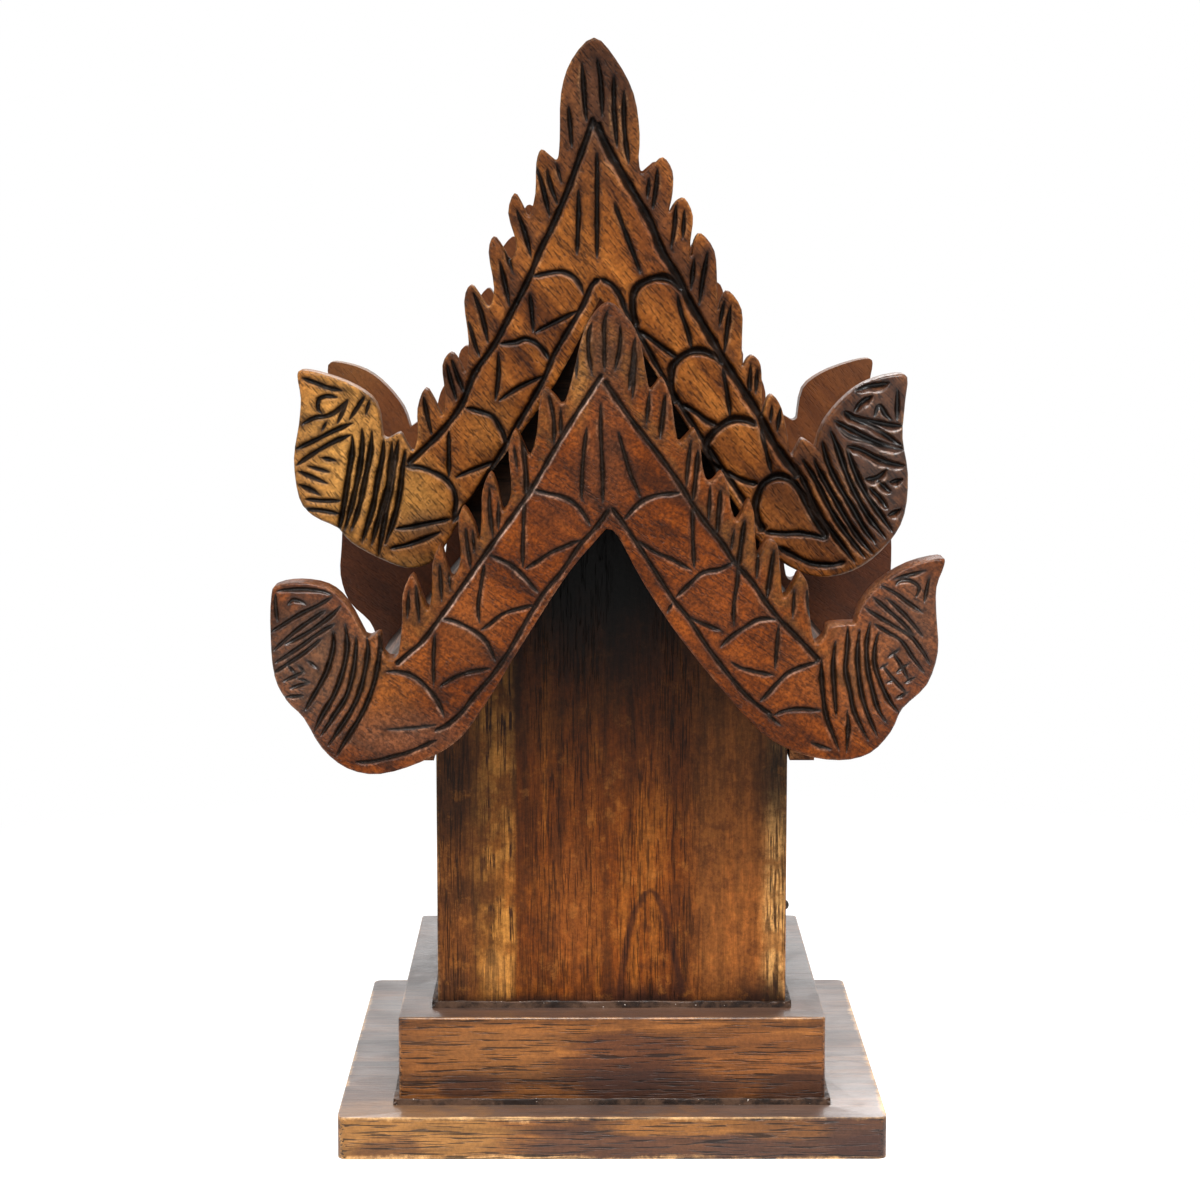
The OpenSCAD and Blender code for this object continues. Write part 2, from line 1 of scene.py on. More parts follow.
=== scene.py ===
import json
import math
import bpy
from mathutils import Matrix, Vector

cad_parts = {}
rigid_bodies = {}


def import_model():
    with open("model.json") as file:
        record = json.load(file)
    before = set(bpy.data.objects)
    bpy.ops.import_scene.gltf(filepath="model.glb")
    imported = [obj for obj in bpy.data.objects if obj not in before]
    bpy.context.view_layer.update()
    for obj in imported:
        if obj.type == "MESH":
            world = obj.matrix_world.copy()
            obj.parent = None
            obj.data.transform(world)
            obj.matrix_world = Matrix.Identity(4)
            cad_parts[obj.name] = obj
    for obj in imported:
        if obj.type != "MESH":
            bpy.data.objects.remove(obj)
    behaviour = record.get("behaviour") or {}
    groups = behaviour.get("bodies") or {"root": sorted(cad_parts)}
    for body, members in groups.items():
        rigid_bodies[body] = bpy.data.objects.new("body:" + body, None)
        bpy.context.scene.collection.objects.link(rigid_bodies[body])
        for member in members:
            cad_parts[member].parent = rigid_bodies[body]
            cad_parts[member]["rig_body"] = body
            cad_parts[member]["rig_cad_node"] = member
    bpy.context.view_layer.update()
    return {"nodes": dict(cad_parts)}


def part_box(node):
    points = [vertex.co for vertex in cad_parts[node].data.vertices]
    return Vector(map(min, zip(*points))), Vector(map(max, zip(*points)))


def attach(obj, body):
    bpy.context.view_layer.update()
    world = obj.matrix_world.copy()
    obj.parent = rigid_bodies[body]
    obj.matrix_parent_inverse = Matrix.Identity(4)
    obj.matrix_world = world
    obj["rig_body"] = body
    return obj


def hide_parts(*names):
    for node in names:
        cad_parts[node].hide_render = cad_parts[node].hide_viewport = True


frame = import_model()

from types import SimpleNamespace
import bpy
import numpy as np
from mathutils import Matrix, kdtree

solid = frame["nodes"]


# Base slab: one flat teak board, stained and waxed. Its arrises are rubbed
# pale by handling, the front top one also as a painted highlight, and dust
# lies on its top, with a grey painted sheen, and in the joint with the plinth.

def tint(red, green, blue):
    """A stain colour as it looks on the board, 0 to 255 each."""
    return tuple((c / 255) ** 2.2 for c in (red, green, blue)) + (1,)


def put(kind, feeds, tree=None, **settings):
    """Adds one step of a finish; feeds are sockets or plain values by input."""
    sockets = {key: f for key, f in feeds.items() if isinstance(f, bpy.types.NodeSocket)}
    tree = tree or next(iter(sockets.values())).id_data
    step = tree.nodes.new("ShaderNode" + kind)
    for key, value in settings.items():
        setattr(step, key, value)
    for key, feed in feeds.items():
        if key in sockets:
            tree.links.new(feed, step.inputs[key])
        else:
            step.inputs[key].default_value = feed
    return step


def sums(operation, *terms):
    return put("Math", dict(enumerate(terms)), operation=operation).outputs[0]


def times(a, b):
    return sums("MULTIPLY", a, b)


def plus(base, value, share):
    """The base with a share of another value on top."""
    return sums("MULTIPLY_ADD", value, share, base)


def vector(operation, *terms):
    step = put("VectorMath", dict(enumerate(terms)), operation=operation)
    return step.outputs["Value" if operation == "LENGTH" else "Vector"]


def split(place):
    return put("SeparateXYZ", {0: place}).outputs


def fade(value, start, end, low=0.0, high=1.0):
    """Goes smoothly from low to high while value goes from start to end."""
    return put("MapRange", {0: value, 1: start, 2: end, 3: low, 4: high},
               interpolation_type="SMOOTHSTEP").outputs[0]


def lay(amount, under, over, how="MIX"):
    """Lays one colour over another by an amount from 0 to 1."""
    return put("Mix", {0: amount, 6: under, 7: over}, data_type="RGBA",
               blend_type=how).outputs[2]


def cloud(at, scale, detail=3.0, rough=0.55, warp=0.0):
    return put("TexNoise", {"Vector": at, "Scale": scale, "Detail": detail,
                            "Roughness": rough, "Distortion": warp}).outputs[0]


def drawn(at, *scale):
    """A place drawn out along the axes whose scale is small."""
    return put("Mapping", {"Vector": at, "Scale": scale}).outputs[0]


def begin_finish(name):
    """A new finish, its shader, and the place on the piece that its steps read."""
    stuff = bpy.data.materials.new(name)
    stuff.use_nodes = True
    shader = stuff.node_tree.nodes["Principled BSDF"]
    return stuff, shader, put("TexCoord", {}, stuff.node_tree).outputs["Object"]


def end_finish(shader, colour, rough, high, strength, depth, metal=0.0, specular=0.5):
    """Joins a colour, a roughness and a fine relief to the shader."""
    shader.inputs["Metallic"].default_value = metal
    shader.inputs["Specular IOR Level"].default_value = specular
    bump = put("Bump", {"Height": high, "Strength": strength, "Distance": depth})
    for name, feed in (("Base Color", colour), ("Roughness", rough),
                       ("Normal", bump.outputs[0])):
        shader.id_data.links.new(feed, shader.inputs[name])


def begin_wood(name, light, mid, dark, shift, turn=(0, 0, 0), coarse=1.0, rings=0.3,
               pores=0.7, stretch=0.05, speckle=0.14, streaks=0.25, hairs=(2600, 0.035),
               even=0.35):
    """Begins a stained teak finish whose grain runs along X before its turn."""
    light, mid, dark = tint(*light), tint(*mid), tint(*dark)
    stuff, shader, at = begin_finish(name)
    turned = put("Mapping", {"Vector": at, "Rotation": [math.radians(a) for a in turn],
                             "Location": shift}).outputs[0]
    along = drawn(turned, stretch, 1, 1)
    hair = drawn(turned, hairs[1], 1, 1)
    figure = cloud(along, 150 * coarse, 9, 0.72, 0.4)
    broad = cloud(along, 14 * coarse, 2, 0.5, 0.5)
    ring = fade(sums("SINE", times(broad, 110.0)), 0.3, 1.0)
    blotch = cloud(turned, 55 * coarse, 8, 0.68, 0.3)
    grit = cloud(turned, 900, 4, 0.7)
    pore = times(fade(cloud(hair, hairs[0], 1, 0.5), 0.55, 0.64),
                 fade(cloud(along, 60, 3), even, even + 0.25))
    colour = lay(fade(figure, 0.38, 0.52), dark, mid)
    colour = lay(fade(figure, 0.5, 0.66), colour, light)
    colour = lay(times(ring, rings), colour, dark)
    colour = lay(fade(blotch, 0.5, 0.68, 0, 0.55), colour, light)
    colour = lay(fade(blotch, 0.5, 0.34, 0, 0.6), colour, dark)
    texture = fade(figure, 0.36, 0.62, 1 - 1.2 * streaks, 1 + 0.8 * streaks)
    texture = times(texture, fade(grit, 0.35, 0.65, 1 - speckle, 1 + speckle))
    texture = times(texture, fade(pore, 0, 1, 1, 1 - pores))
    return SimpleNamespace(
        stuff=stuff, shader=shader, at=at, turned=turned, colour=colour, texture=texture,
        blotch=blotch, figure=figure, grit=grit, wax=None,
        high=plus(plus(times(figure, 0.9), pore, -0.8), grit, 0.35),
        rough=fade(blotch, 0.35, 0.65, 0.3, 0.46))


def end_wood(wood, depth=0.0004, specular=0.12):
    """Joins the wood's finish to its shader and gives the finished material."""
    grey = put("CombineColor", {i: wood.texture for i in range(3)}).outputs[0]
    end_finish(wood.shader, lay(1.0, wood.colour, grey, "MULTIPLY"), wood.rough, wood.high,
               0.6, depth, specular=specular)
    if wood.wax is not None:
        wood.shader.id_data.links.new(wood.wax, wood.shader.inputs["Coat Weight"])
        wood.shader.inputs["Coat Roughness"].default_value = 0.24
    return wood.stuff


def stain(wood, amount, colour):
    wood.colour = lay(amount, wood.colour, tint(*colour))


def height(wood):
    return split(wood.at)[2]


def way(wood, point):
    """The way from a point, in millimetres, to each place on the wood, in metres."""
    return vector("SUBTRACT", wood.at, [c / 1000 for c in point])


def patch(wood, centre, radii, soft, ragged=0.5, streaky=0.0):
    """Amount from 0 to 1 of an uneven oval patch, sizes in millimetres."""
    away = vector("LENGTH", vector("MULTIPLY", way(wood, centre), [1000 / r for r in radii]))
    away = plus(plus(away, wood.blotch, ragged), wood.figure, streaky)
    edge = 1.0 + (ragged + streaky) * 0.5
    return fade(away, edge + soft * 0.5, edge - soft)


def stain_patches(wood, face_y, reach, spots, *look):
    """Stains patches on a face: place and radii along X and Z, colour and amount each."""
    for x, z, radius_x, radius_z, colour, amount in spots:
        spot = patch(wood, (x, face_y, z), (radius_x, reach, radius_z), *look)
        stain(wood, times(spot, amount), colour)


def edge_distance(wood, middle, half):
    """Distance in metres from a face point of a square block to its nearest arris."""
    inward = vector("ABSOLUTE", way(wood, middle))
    x, y, z = split(vector("SUBTRACT", [c / 1000 for c in half], inward))
    least, most = sums("MINIMUM", x, y), sums("MAXIMUM", x, y)
    return sums("MAXIMUM", least, sums("MINIMUM", most, z))


def rub_and_highlight(wood, away, width, pale, amount):
    """Rubs the stain thin along the arrises, unevenly; in a bright colour, as on the slab, the
    pale line is also a painted highlight.
    """
    ragged = plus(away, wood.blotch, -4.0 * width)
    ragged = plus(plus(ragged, wood.figure, -2.0 * width), wood.grit, -1.0 * width)
    stain(wood, fade(ragged, width * -2.6, width * -4.2, 0, amount), pale)


def grime(wood, away, width, amount=0.9, soot=(24, 19, 17)):
    """Dark dirt that gathers in a joint, where away goes to nothing."""
    ragged = plus(away, wood.blotch, -3.0 * width)
    dirty = fade(ragged, width * 0.2, width * -1.4, 0, amount)
    stain(wood, dirty, soot)
    wood.rough = fade(dirty, 0, 1, 0.42, 0.8)


def facing(wood):
    """How much a face looks along X, Y and Z, from -1 to 1."""
    return split(put("NewGeometry", {}, wood.at.id_data).outputs["Normal"])


def sawn(wood, axis, start, end):
    """Amount from 0 to 1 that a face looks along an axis, 0 for X, 1 for Y, 2 for Z."""
    return fade(sums("ABSOLUTE", facing(wood)[axis]), start, end)


def end_grain(wood, pith, light, dark):
    """Growth rings round a pith point, on the faces sawn across the grain."""
    light, dark = tint(*light), tint(*dark)
    away = vector("LENGTH", vector("MULTIPLY", way(wood, pith), (0, 1, 1)))
    away = plus(away, cloud(wood.at, 30, 2), 0.012)
    ring = fade(sums("SINE", times(away, 1900.0)), -0.6, 1.0)
    rings = lay(fade(cloud(wood.at, 1500, 1), 0.6, 0.68), lay(ring, light, dark), dark)
    wood.colour = lay(times(sawn(wood, 0, 0.6, 0.9), 0.6), wood.colour, rings)


def outside(wood, half_x, half_y, foot):
    """Distance in metres from an upright block that stands on the middle, at its foot."""
    x, y, z = split(wood.at)
    x = sums("SUBTRACT", sums("ABSOLUTE", x), half_x / 1000)
    y = sums("SUBTRACT", sums("ABSOLUTE", y), half_y / 1000)
    return sums("MAXIMUM", sums("MAXIMUM", x, y), sums("SUBTRACT", foot / 1000, z))


def calm(wood, amount):
    """Fills the grain with wax and dust, so that it shows less."""
    wood.texture = plus(1.0, sums("SUBTRACT", wood.texture, 1.0), fade(amount, 0, 1, 1, 0.35))


def dust_and_sheen_top(wood, level, amount, colour, wax, gloss):
    """Dust on old wax with a grey painted sheen, on the flat top that lies at a level in
    millimetres.
    """
    top = fade(height(wood), (level - 0.8) / 1000, (level + 0.1) / 1000)
    # The grey is dust and a painted sheen together.
    stain(wood, times(top, amount), colour)
    calm(wood, top)
    wood.wax = times(top, fade(wood.blotch, 0.35, 0.6, 0.5, wax))
    wood.rough = fade(times(top, wood.blotch), 0.3, 0.6, 0.36, gloss)


link = bpy.context.scene.collection.objects.link


def select_only(piece):
    bpy.ops.object.select_all(action="DESELECT")
    bpy.context.view_layer.objects.active = piece
    piece.select_set(True)


def mode(name):
    bpy.ops.object.mode_set(mode=name)


def smooth(angle):
    bpy.ops.object.shade_smooth_by_angle(angle=math.radians(angle))


def eased(source, name, offset, chosen):
    """A copy of a solid, its doubled points merged and its chosen arrises eased."""
    piece = source.copy()
    piece.data = source.data.copy()
    piece.name = piece.data.name = name
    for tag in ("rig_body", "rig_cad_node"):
        if tag in piece:
            del piece[tag]
    piece.parent = None
    link(piece)
    select_only(piece)
    mode("EDIT")
    bpy.ops.mesh.select_all(action="SELECT")
    bpy.ops.mesh.remove_doubles(threshold=0.000002)
    bpy.ops.mesh.dissolve_limited(angle_limit=0.002)
    bpy.ops.mesh.select_all(action="DESELECT")
    mode("OBJECT")
    sides = {}
    for face in piece.data.polygons:
        for key in face.edge_keys:
            sides.setdefault(key, []).append(face.normal)
    for edge in piece.data.edges:
        a, b = (piece.data.vertices[i].co * 1000 for i in edge.vertices)
        pair = sides[tuple(sorted(edge.vertices))]
        edge.select = len(pair) == 2 and pair[0].dot(pair[1]) < 0.9 and chosen(a, b)
    mode("EDIT")
    bpy.ops.mesh.select_mode(type="EDGE")
    bpy.ops.mesh.bevel(offset=offset / 1000, segments=3, profile=0.5, clamp_overlap=True)
    mode("OBJECT")
    smooth(35)
    return piece


def settle(piece, body, finish, slot, *stands_for):
    """Gives a piece its finish, its body and the solids that it stands for."""
    piece.data.materials.clear()
    piece.data.materials.append(finish)
    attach(piece, body)
    if stands_for:
        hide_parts(*stands_for)


slab_x, slab_y, slab_top = 83, 81.5, 13
plinth_x, plinth_y, plinth_top = 65.25, 67, 40

slab = eased(solid["base_slab"], "slab", 0.9, lambda a, b:
             min(a.z, b.z) > slab_top - 0.1 or max(abs(a.x), abs(a.y)) > slab_y - 3)
wood = begin_wood("slab teak", (152, 100, 52), (106, 67, 38), (54, 35, 26), (0.2, 0.1, 0),
                  coarse=0.7, streaks=0.28, pores=0.8, hairs=(2200, 0.04), even=0.3)
stain_patches(wood, -82, 20, (
    (-62, 6, 36, 12, (152, 106, 58), 0.85), (-66, 3, 12, 5, (104, 68, 40), 0.85),
    (4, 4, 40, 7, (84, 56, 42), 0.85), (60, 5, 34, 9, (82, 56, 44), 0.85),
    (22, 10, 22, 3, (156, 102, 52), 0.85), (52, 9, 12, 3, (124, 80, 44), 0.85),
    (76, 3, 10, 5, (70, 46, 38), 0.85)), 0.35, 1.6, 2.4)
end_grain(wood, (0, 30, -90), (116, 76, 46), (70, 45, 32))
dust_and_sheen_top(wood, slab_top, fade(wood.blotch, 0.4, 0.6, 0.5, 0.8), (92, 77, 70), 0.85, 0.24)
# The slab's pale arris line is wear and a painted highlight.
rub_and_highlight(wood, edge_distance(wood, (0, 0, slab_top / 2), (slab_x, slab_y, slab_top / 2)), 0.0016,
    (244, 190, 126), 1.0)
joint = outside(wood, plinth_x, plinth_y, slab_top)
grime(wood, joint, 0.0016)
specks = fade(cloud(wood.at, 900, 1), 0.74, 0.77)
stain(wood, times(specks, fade(joint, 0.003, 0.0005)), (215, 205, 195))
settle(slab, "base", end_wood(wood, specular=0.3), "base_wood", "base_slab")


# Plinth: a thick teak block glued and screwed on the slab. Its front shows
# long grain, golden where the stain is thin and nearly black in its blotches.

wall_x, wall_y = 53.75, 54

plinth = eased(solid["plinth_block"], "plinth", 0.7, lambda a, b:
               max(abs(a.x), abs(a.y)) > plinth_x - 5 and min(a.z, b.z) > plinth_top - 0.1)
wood = begin_wood("plinth teak", (144, 90, 44), (102, 62, 30), (56, 33, 21), (0.5, 0.3, 0.2),
                  coarse=0.65, rings=0.35, streaks=0.3, pores=0.8, hairs=(2200, 0.04),
                  even=0.3)
stain_patches(wood, -67, 14, (
    (-36, 30, 30, 9, (124, 79, 41), 0.8), (46, 26, 26, 11, (126, 76, 38), 0.8),
    (2, 28, 22, 8, (78, 45, 28), 0.8), (14, 18, 26, 5, (56, 34, 26), 0.8),
    (-44, 18, 12, 4, (64, 39, 27), 0.8), (58, 17, 14, 6, (54, 32, 23), 0.8)), 0.4, 1.5, 2.2)
end_grain(wood, (0, -20, -60), (118, 74, 42), (68, 42, 28))
# Dust and a grey painted sheen on the plinth's top.
dust_and_sheen_top(wood, plinth_top, 0.7, (84, 69, 62), 1.0, 0.26)
half_z = (plinth_top - slab_top) / 2
rub_and_highlight(wood, edge_distance(wood, (0, 0, slab_top + half_z), (plinth_x, plinth_y, half_z)), 0.0009,
    (204, 148, 92), 0.7)
grime(wood, sums("ABSOLUTE", sums("SUBTRACT", height(wood), slab_top / 1000)), 0.0011)
grime(wood, outside(wood, wall_x, wall_y, plinth_top), 0.0014)
settle(plinth, "base", end_wood(wood, specular=0.25), "base_wood", "plinth_block")


# Wax and glue in the joints: a dark uneven bead, wiped along with a finger,
# that runs round the foot of the plinth and round the foot of the walls.

bead_wax, shader, at = begin_finish("joint wax")
colour = lay(fade(cloud(at, 120, 5, 0.7), 0.4, 0.6), tint(38, 28, 23), tint(88, 66, 52))
colour = lay(fade(cloud(at, 800, 1), 0.75, 0.765), colour, tint(205, 192, 180))
end_finish(shader, colour, fade(cloud(at, 300, 3), 0.3, 0.7, 0.35, 0.7), cloud(at, 700, 4),
           0.6, 0.0004, specular=0.3)


def corners(mesh):
    """The corner points of a mesh, in millimetres."""
    co = np.zeros(len(mesh.vertices) * 3)
    mesh.vertices.foreach_get("co", co)
    return co.reshape(-1, 3) * 1000


def move_corners(mesh, co):
    mesh.vertices.foreach_set("co", (co / 1000).ravel())
    mesh.update()


for name, half_x, half_y, foot, wide, high, seed in (
        ("plinth_joint", plinth_x, plinth_y, slab_top, 1.6, 1.1, 3),
        ("wall_joint", wall_x, wall_y, plinth_top, 1.7, 1.2, 5)):
    bpy.ops.mesh.primitive_cube_add(size=1, location=(0, 0, (foot + high / 2) / 1000))
    bead = bpy.context.object
    bead.name = bead.data.name = name
    bead.scale = ((half_x + wide) / 500, (half_y + wide) / 500, high / 1000)
    bpy.ops.object.transform_apply(location=True, rotation=True, scale=True)
    for face in bead.data.polygons:
        face.select = abs(face.normal.z) > 0.9
    mode("EDIT")
    bpy.ops.mesh.select_mode(type="FACE")
    bpy.ops.mesh.inset(thickness=(wide - 0.02) / 1000, use_individual=True)
    bpy.ops.mesh.delete(type="FACE")
    bpy.ops.mesh.select_mode(type="EDGE")
    bpy.ops.mesh.select_all(action="DESELECT")
    bpy.ops.mesh.select_non_manifold()
    bpy.ops.mesh.bridge_edge_loops()
    bpy.ops.mesh.select_all(action="DESELECT")
    mode("OBJECT")
    for edge in bead.data.edges:
        ends = [bead.data.vertices[i].co * 1000 for i in edge.vertices]
        edge.select = all(v.z > foot + high - 0.01 and abs(v.x) > half_x + wide - 0.1 and
                          abs(v.y) > half_y + wide - 0.1 for v in ends)
    mode("EDIT")
    bpy.ops.mesh.bevel(offset=high * 0.82 / 1000, segments=4, profile=0.45)
    bpy.ops.mesh.select_all(action="SELECT")
    mode("OBJECT")
    for edge in bead.data.edges:
        a, b = (bead.data.vertices[i].co for i in edge.vertices)
        edge.select = (a - b).length > 0.05
    mode("EDIT")
    bpy.ops.mesh.subdivide(number_cuts=20)
    mode("OBJECT")
    co = corners(bead.data)
    x, y, z = co.T
    proud = ((np.abs(x) > half_x + 0.1) | (np.abs(y) > half_y + 0.1)) & (z > foot + 0.05)
    run = x * 0.11 + y * 0.09 + seed
    push = 0.2 * np.sin(run * 2.1) + 0.12 * np.sin(run * 4.3 + 1)
    co *= 1 + np.where(proud, push, 0)[:, None] * [0.004, 0.004, 0]
    co[:, 2] += np.where(proud & (co[:, 2] > foot + high * 0.5), push, 0)
    move_corners(bead.data, co)
    smooth(60)
    settle(bead, "base", bead_wax, "base_wood")


# Body: four teak walls butted at the corners. The gable-end walls run up to
# a peak under the roof, where painted shade turns them near black.

wood = begin_wood("gable wall teak", (136, 78, 29), (109, 56, 18), (76, 40, 15),
                  (0.13, 0.4, 0.31), turn=(0, 90, 0), coarse=0.8, rings=0.25, streaks=0.14,
                  pores=0.6, hairs=(2100, 0.05), speckle=0.2, even=0.36)
across, _, up = split(wood.at)
waver = plus(across, wood.blotch, 0.005)
hairline = cloud(drawn(wood.turned, 0.05, 1, 1), 1100, 3, 0.6)
side = fade(waver, -0.0345, -0.0400, 0, 0.6)
stain(wood, side, (104, 64, 32))
sapwood = times(fade(waver, -0.0425, -0.0355), fade(waver, -0.0262, -0.0285))
sapwood = times(sapwood, fade(cloud(wood.turned, 75, 6, 0.65), 0.42, 0.56, 0.25, 1))
stain(wood, sapwood, (168, 112, 52))
light_edge = times(fade(waver, 0.0470, 0.0520, 0, 0.9), fade(across, 0.0536, 0.0532))
light_edge = times(light_edge, fade(cloud(wood.turned, 120, 5, 0.65), 0.4, 0.55, 0.35, 1))
stain(wood, light_edge, (212, 156, 92))
pale = sums("MAXIMUM", sums("MAXIMUM", sapwood, light_edge), side)
stain(wood, times(pale, fade(hairline, 0.5, 0.42)), (56, 33, 20))
stain(wood, times(fade(waver, 0.022, 0.034, 0, 0.5), fade(waver, 0.0515, 0.0485)),
      (162, 98, 48))
stain_patches(wood, -54, 20, (
    (11, 42, 17, 6, (44, 26, 21), 0.9), (-20, 40, 26, 4, (66, 40, 28), 0.8),
    (47, 42, 14, 10, (34, 22, 19), 0.95), (-50, 44, 8, 9, (62, 40, 28), 0.7),
    (-36.5, 55, 1.6, 2.4, (44, 25, 18), 0.9), (-35, 50, 5, 8, (176, 120, 62), 0.6),
    (-12, 70, 10, 22, (132, 74, 33), 0.5), (-49, 104, 13, 18, (48, 31, 20), 0.75),
    (-46, 76, 10, 7, (60, 37, 22), 0.6), (51, 112, 9, 18, (38, 25, 19), 0.85),
    (14, 118, 16, 12, (92, 50, 26), 0.4)), 0.8, 0.8, 0.6)
combed = fade(cloud(drawn(wood.turned, 0.14, 1, 1), 900, 4, 0.65), 0.36, 0.64, 0.8, 1.2)
wood.texture = times(wood.texture, combed)
mottle = cloud(wood.turned, 160, 7, 0.7)
stain(wood, fade(mottle, 0.5, 0.36, 0, 0.45), (72, 40, 22))
stain(wood, fade(mottle, 0.54, 0.68, 0, 0.35), (164, 102, 46))
arch_x, arch_top = 0.0140, 0.0765
climb = sums("SQRT", sums("MAXIMUM", sums("SUBTRACT", arch_top, up), 0.0))
beside = sums("ABSOLUTE", sums("SUBTRACT", waver, arch_x))
arch = fade(sums("ABSOLUTE", plus(beside, climb, -0.052)), 0.0016, 0.0004)
stain(wood, times(times(arch, fade(up, arch_top + 0.0015, arch_top - 0.0005)), 0.7),
      (48, 26, 18))
# Painted shade: near black towards the top of the wall, under the gable boards.
stain(wood, fade(plus(up, wood.blotch, 0.05), 0.095, 0.2), (10, 7, 4))
wall_arris = (0, 0, 120), (wall_x, wall_y, 200)
rub_and_highlight(wood, edge_distance(wood, *wall_arris), 0.0010, (196, 142, 88), 0.6)
grime(wood, sums("SUBTRACT", up, plinth_top / 1000), 0.0026, 0.85, (36, 24, 20))
gable_wall = end_wood(wood)

wood = begin_wood("side wall teak", (150, 92, 48), (122, 70, 38), (86, 48, 28),
                  (0.4, 0.2, 0.7), turn=(0, 0, 90), coarse=0.8, rings=0.4)
up = height(wood)
stain(wood, fade(plus(up, wood.blotch, 0.02), 0.125, 0.175), (40, 25, 18))
rub_and_highlight(wood, edge_distance(wood, *wall_arris), 0.0010, (176, 124, 76), 0.6)
grime(wood, sums("SUBTRACT", up, plinth_top / 1000), 0.0014)
side_wall = end_wood(wood)


def upright(a, b):
    """The arrises where two walls meet."""
    return (abs(a.x - b.x) < 0.01 and abs(a.y - b.y) < 0.01 and
            abs(a.x) > wall_x - 0.5 and abs(a.y) > wall_y - 0.5)


def opening(a, b):
    """The outer arrises of the drawer's opening."""
    return (min(a.x, b.x) > wall_x - 0.05 and 42 < max(a.z, b.z) < 100 and
            max(abs(a.y), abs(b.y)) < 32)


for name, finish, chosen in (
        ("front_wall", gable_wall, upright), ("rear_wall", gable_wall, upright),
        ("left_wall", side_wall, upright), ("right_wall", side_wall, opening)):
    wall = eased(solid[name], name.title(), 0.6, chosen)
    settle(wall, "base", finish, "body_wood", name)


# Inside of the box: plain, darker boards that nobody sees. Two runners carry the
# drawer, and two cleats hold the grate. The battens under the eaves are the same.

def plain_wood(name, tints, shift, turn, dullest):
    """Teak left bare of wax, for the boards that nobody sees."""
    wood = begin_wood(name, *tints, shift, turn)
    wood.rough = fade(wood.blotch, 0.3, 0.7, dullest - 0.2, dullest)
    return end_wood(wood)


def give(finish, *names):
    """Gives a finish to solids that are seen as they are."""
    for name in names:
        solid[name].material_slots[0].material = finish


brown = (126, 82, 50), (98, 60, 38), (66, 40, 28)
inner_teak = plain_wood("inner teak", brown, (0.9, 0.1, 0.3), (0, 0, 90), 0.75)
drawer_teak = plain_wood("drawer teak", brown, (0.3, 0.8, 0.3), (0, 0, 0), 0.7)
give(drawer_teak, "near_runner", "far_runner", "near_cleat", "far_cleat", "drawer_near_side",
     "drawer_far_side", "drawer_bottom")
give(inner_teak, "drawer_back", "left_batten", "right_batten")


# Ash drawer front: a teak board cut from the same stock as the wall round it,
# with a small turned iron knob on a round plate.

face_z, face_half_y, face_half_z, face_t = 59.4, 30.5, 13.1, 8
drawer_front = eased(solid["drawer_front"], "drawer_face", 0.5, lambda a, b:
                     min(a.x, b.x) > wall_x - 0.05 and max(abs(a.y), abs(b.y)) > 20)
wood = begin_wood("drawer face teak", (154, 96, 50), (124, 72, 38), (84, 48, 28),
                  (0.7, 0.2, 0.5), turn=(0, 0, 90), coarse=0.8, rings=0.5)
rub_and_highlight(wood, edge_distance(wood, (wall_x - face_t / 2, 0, face_z),
                        (face_t / 2, face_half_y, face_half_z)), 0.0009, (186, 132, 80), 0.7)
from_knob = vector("LENGTH", way(wood, (wall_x, 0, face_z)))
grime(wood, sums("SUBTRACT", from_knob, 0.0050), 0.0018, 0.8)
settle(drawer_front, "drawer", end_wood(wood), "body_wood", "drawer_front")

iron, shader, at = begin_finish("aged iron")
rust = cloud(at, 420, 4, 0.6)
end_finish(shader, lay(fade(rust, 0.5, 0.68), tint(52, 46, 42), tint(92, 58, 38)),
           fade(rust, 0.35, 0.7, 0.38, 0.75), cloud(at, 1400, 3), 0.35, 0.0002, metal=0.85)
give(iron, "drawer_knob", "base_screws")


# Brass of the hearth: a spun cup for the incense on a pierced grate, and a
# folded tray in the drawer for the ash. All dulled, browned and ash-marked.

brass, shader, at = begin_finish("dull brass")
dull = cloud(at, 160, 5, 0.65, 0.4)
colour = lay(fade(dull, 0.4, 0.66), tint(176, 138, 66), tint(104, 74, 40))
colour = lay(fade(cloud(at, 700, 3), 0.6, 0.72, 0, 0.6), colour, tint(120, 112, 102))
scratches = cloud(drawn(at, 1, 0.08, 1), 2200, 2)
end_finish(shader, colour, fade(dull, 0.35, 0.7, 0.28, 0.62), scratches, 0.3, 0.0001, metal=0.9)
give(brass, "incense_cup", "incense_grate", "ash_liner")


# Roof panels and ridges: thin teak boards glued on the ties, ribs and gable
# boards. Grey with dust above; painted shade below and near the gable boards.

wood = begin_wood("roof teak", (132, 88, 58), (100, 62, 44), (66, 42, 32), (0.1, 0.6, 0.2),
                  turn=(0, 0, 90), coarse=0.8, rings=0.35)
up = facing(wood)[2]
dust = times(fade(up, 0.2, 0.6), fade(wood.blotch, 0.3, 0.7, 0.2, 0.75))
stain(wood, dust, (116, 104, 96))
# Painted shade on the faces that look down.
stain(wood, fade(up, 0.0, -0.4, 0, 0.8), (30, 20, 15))
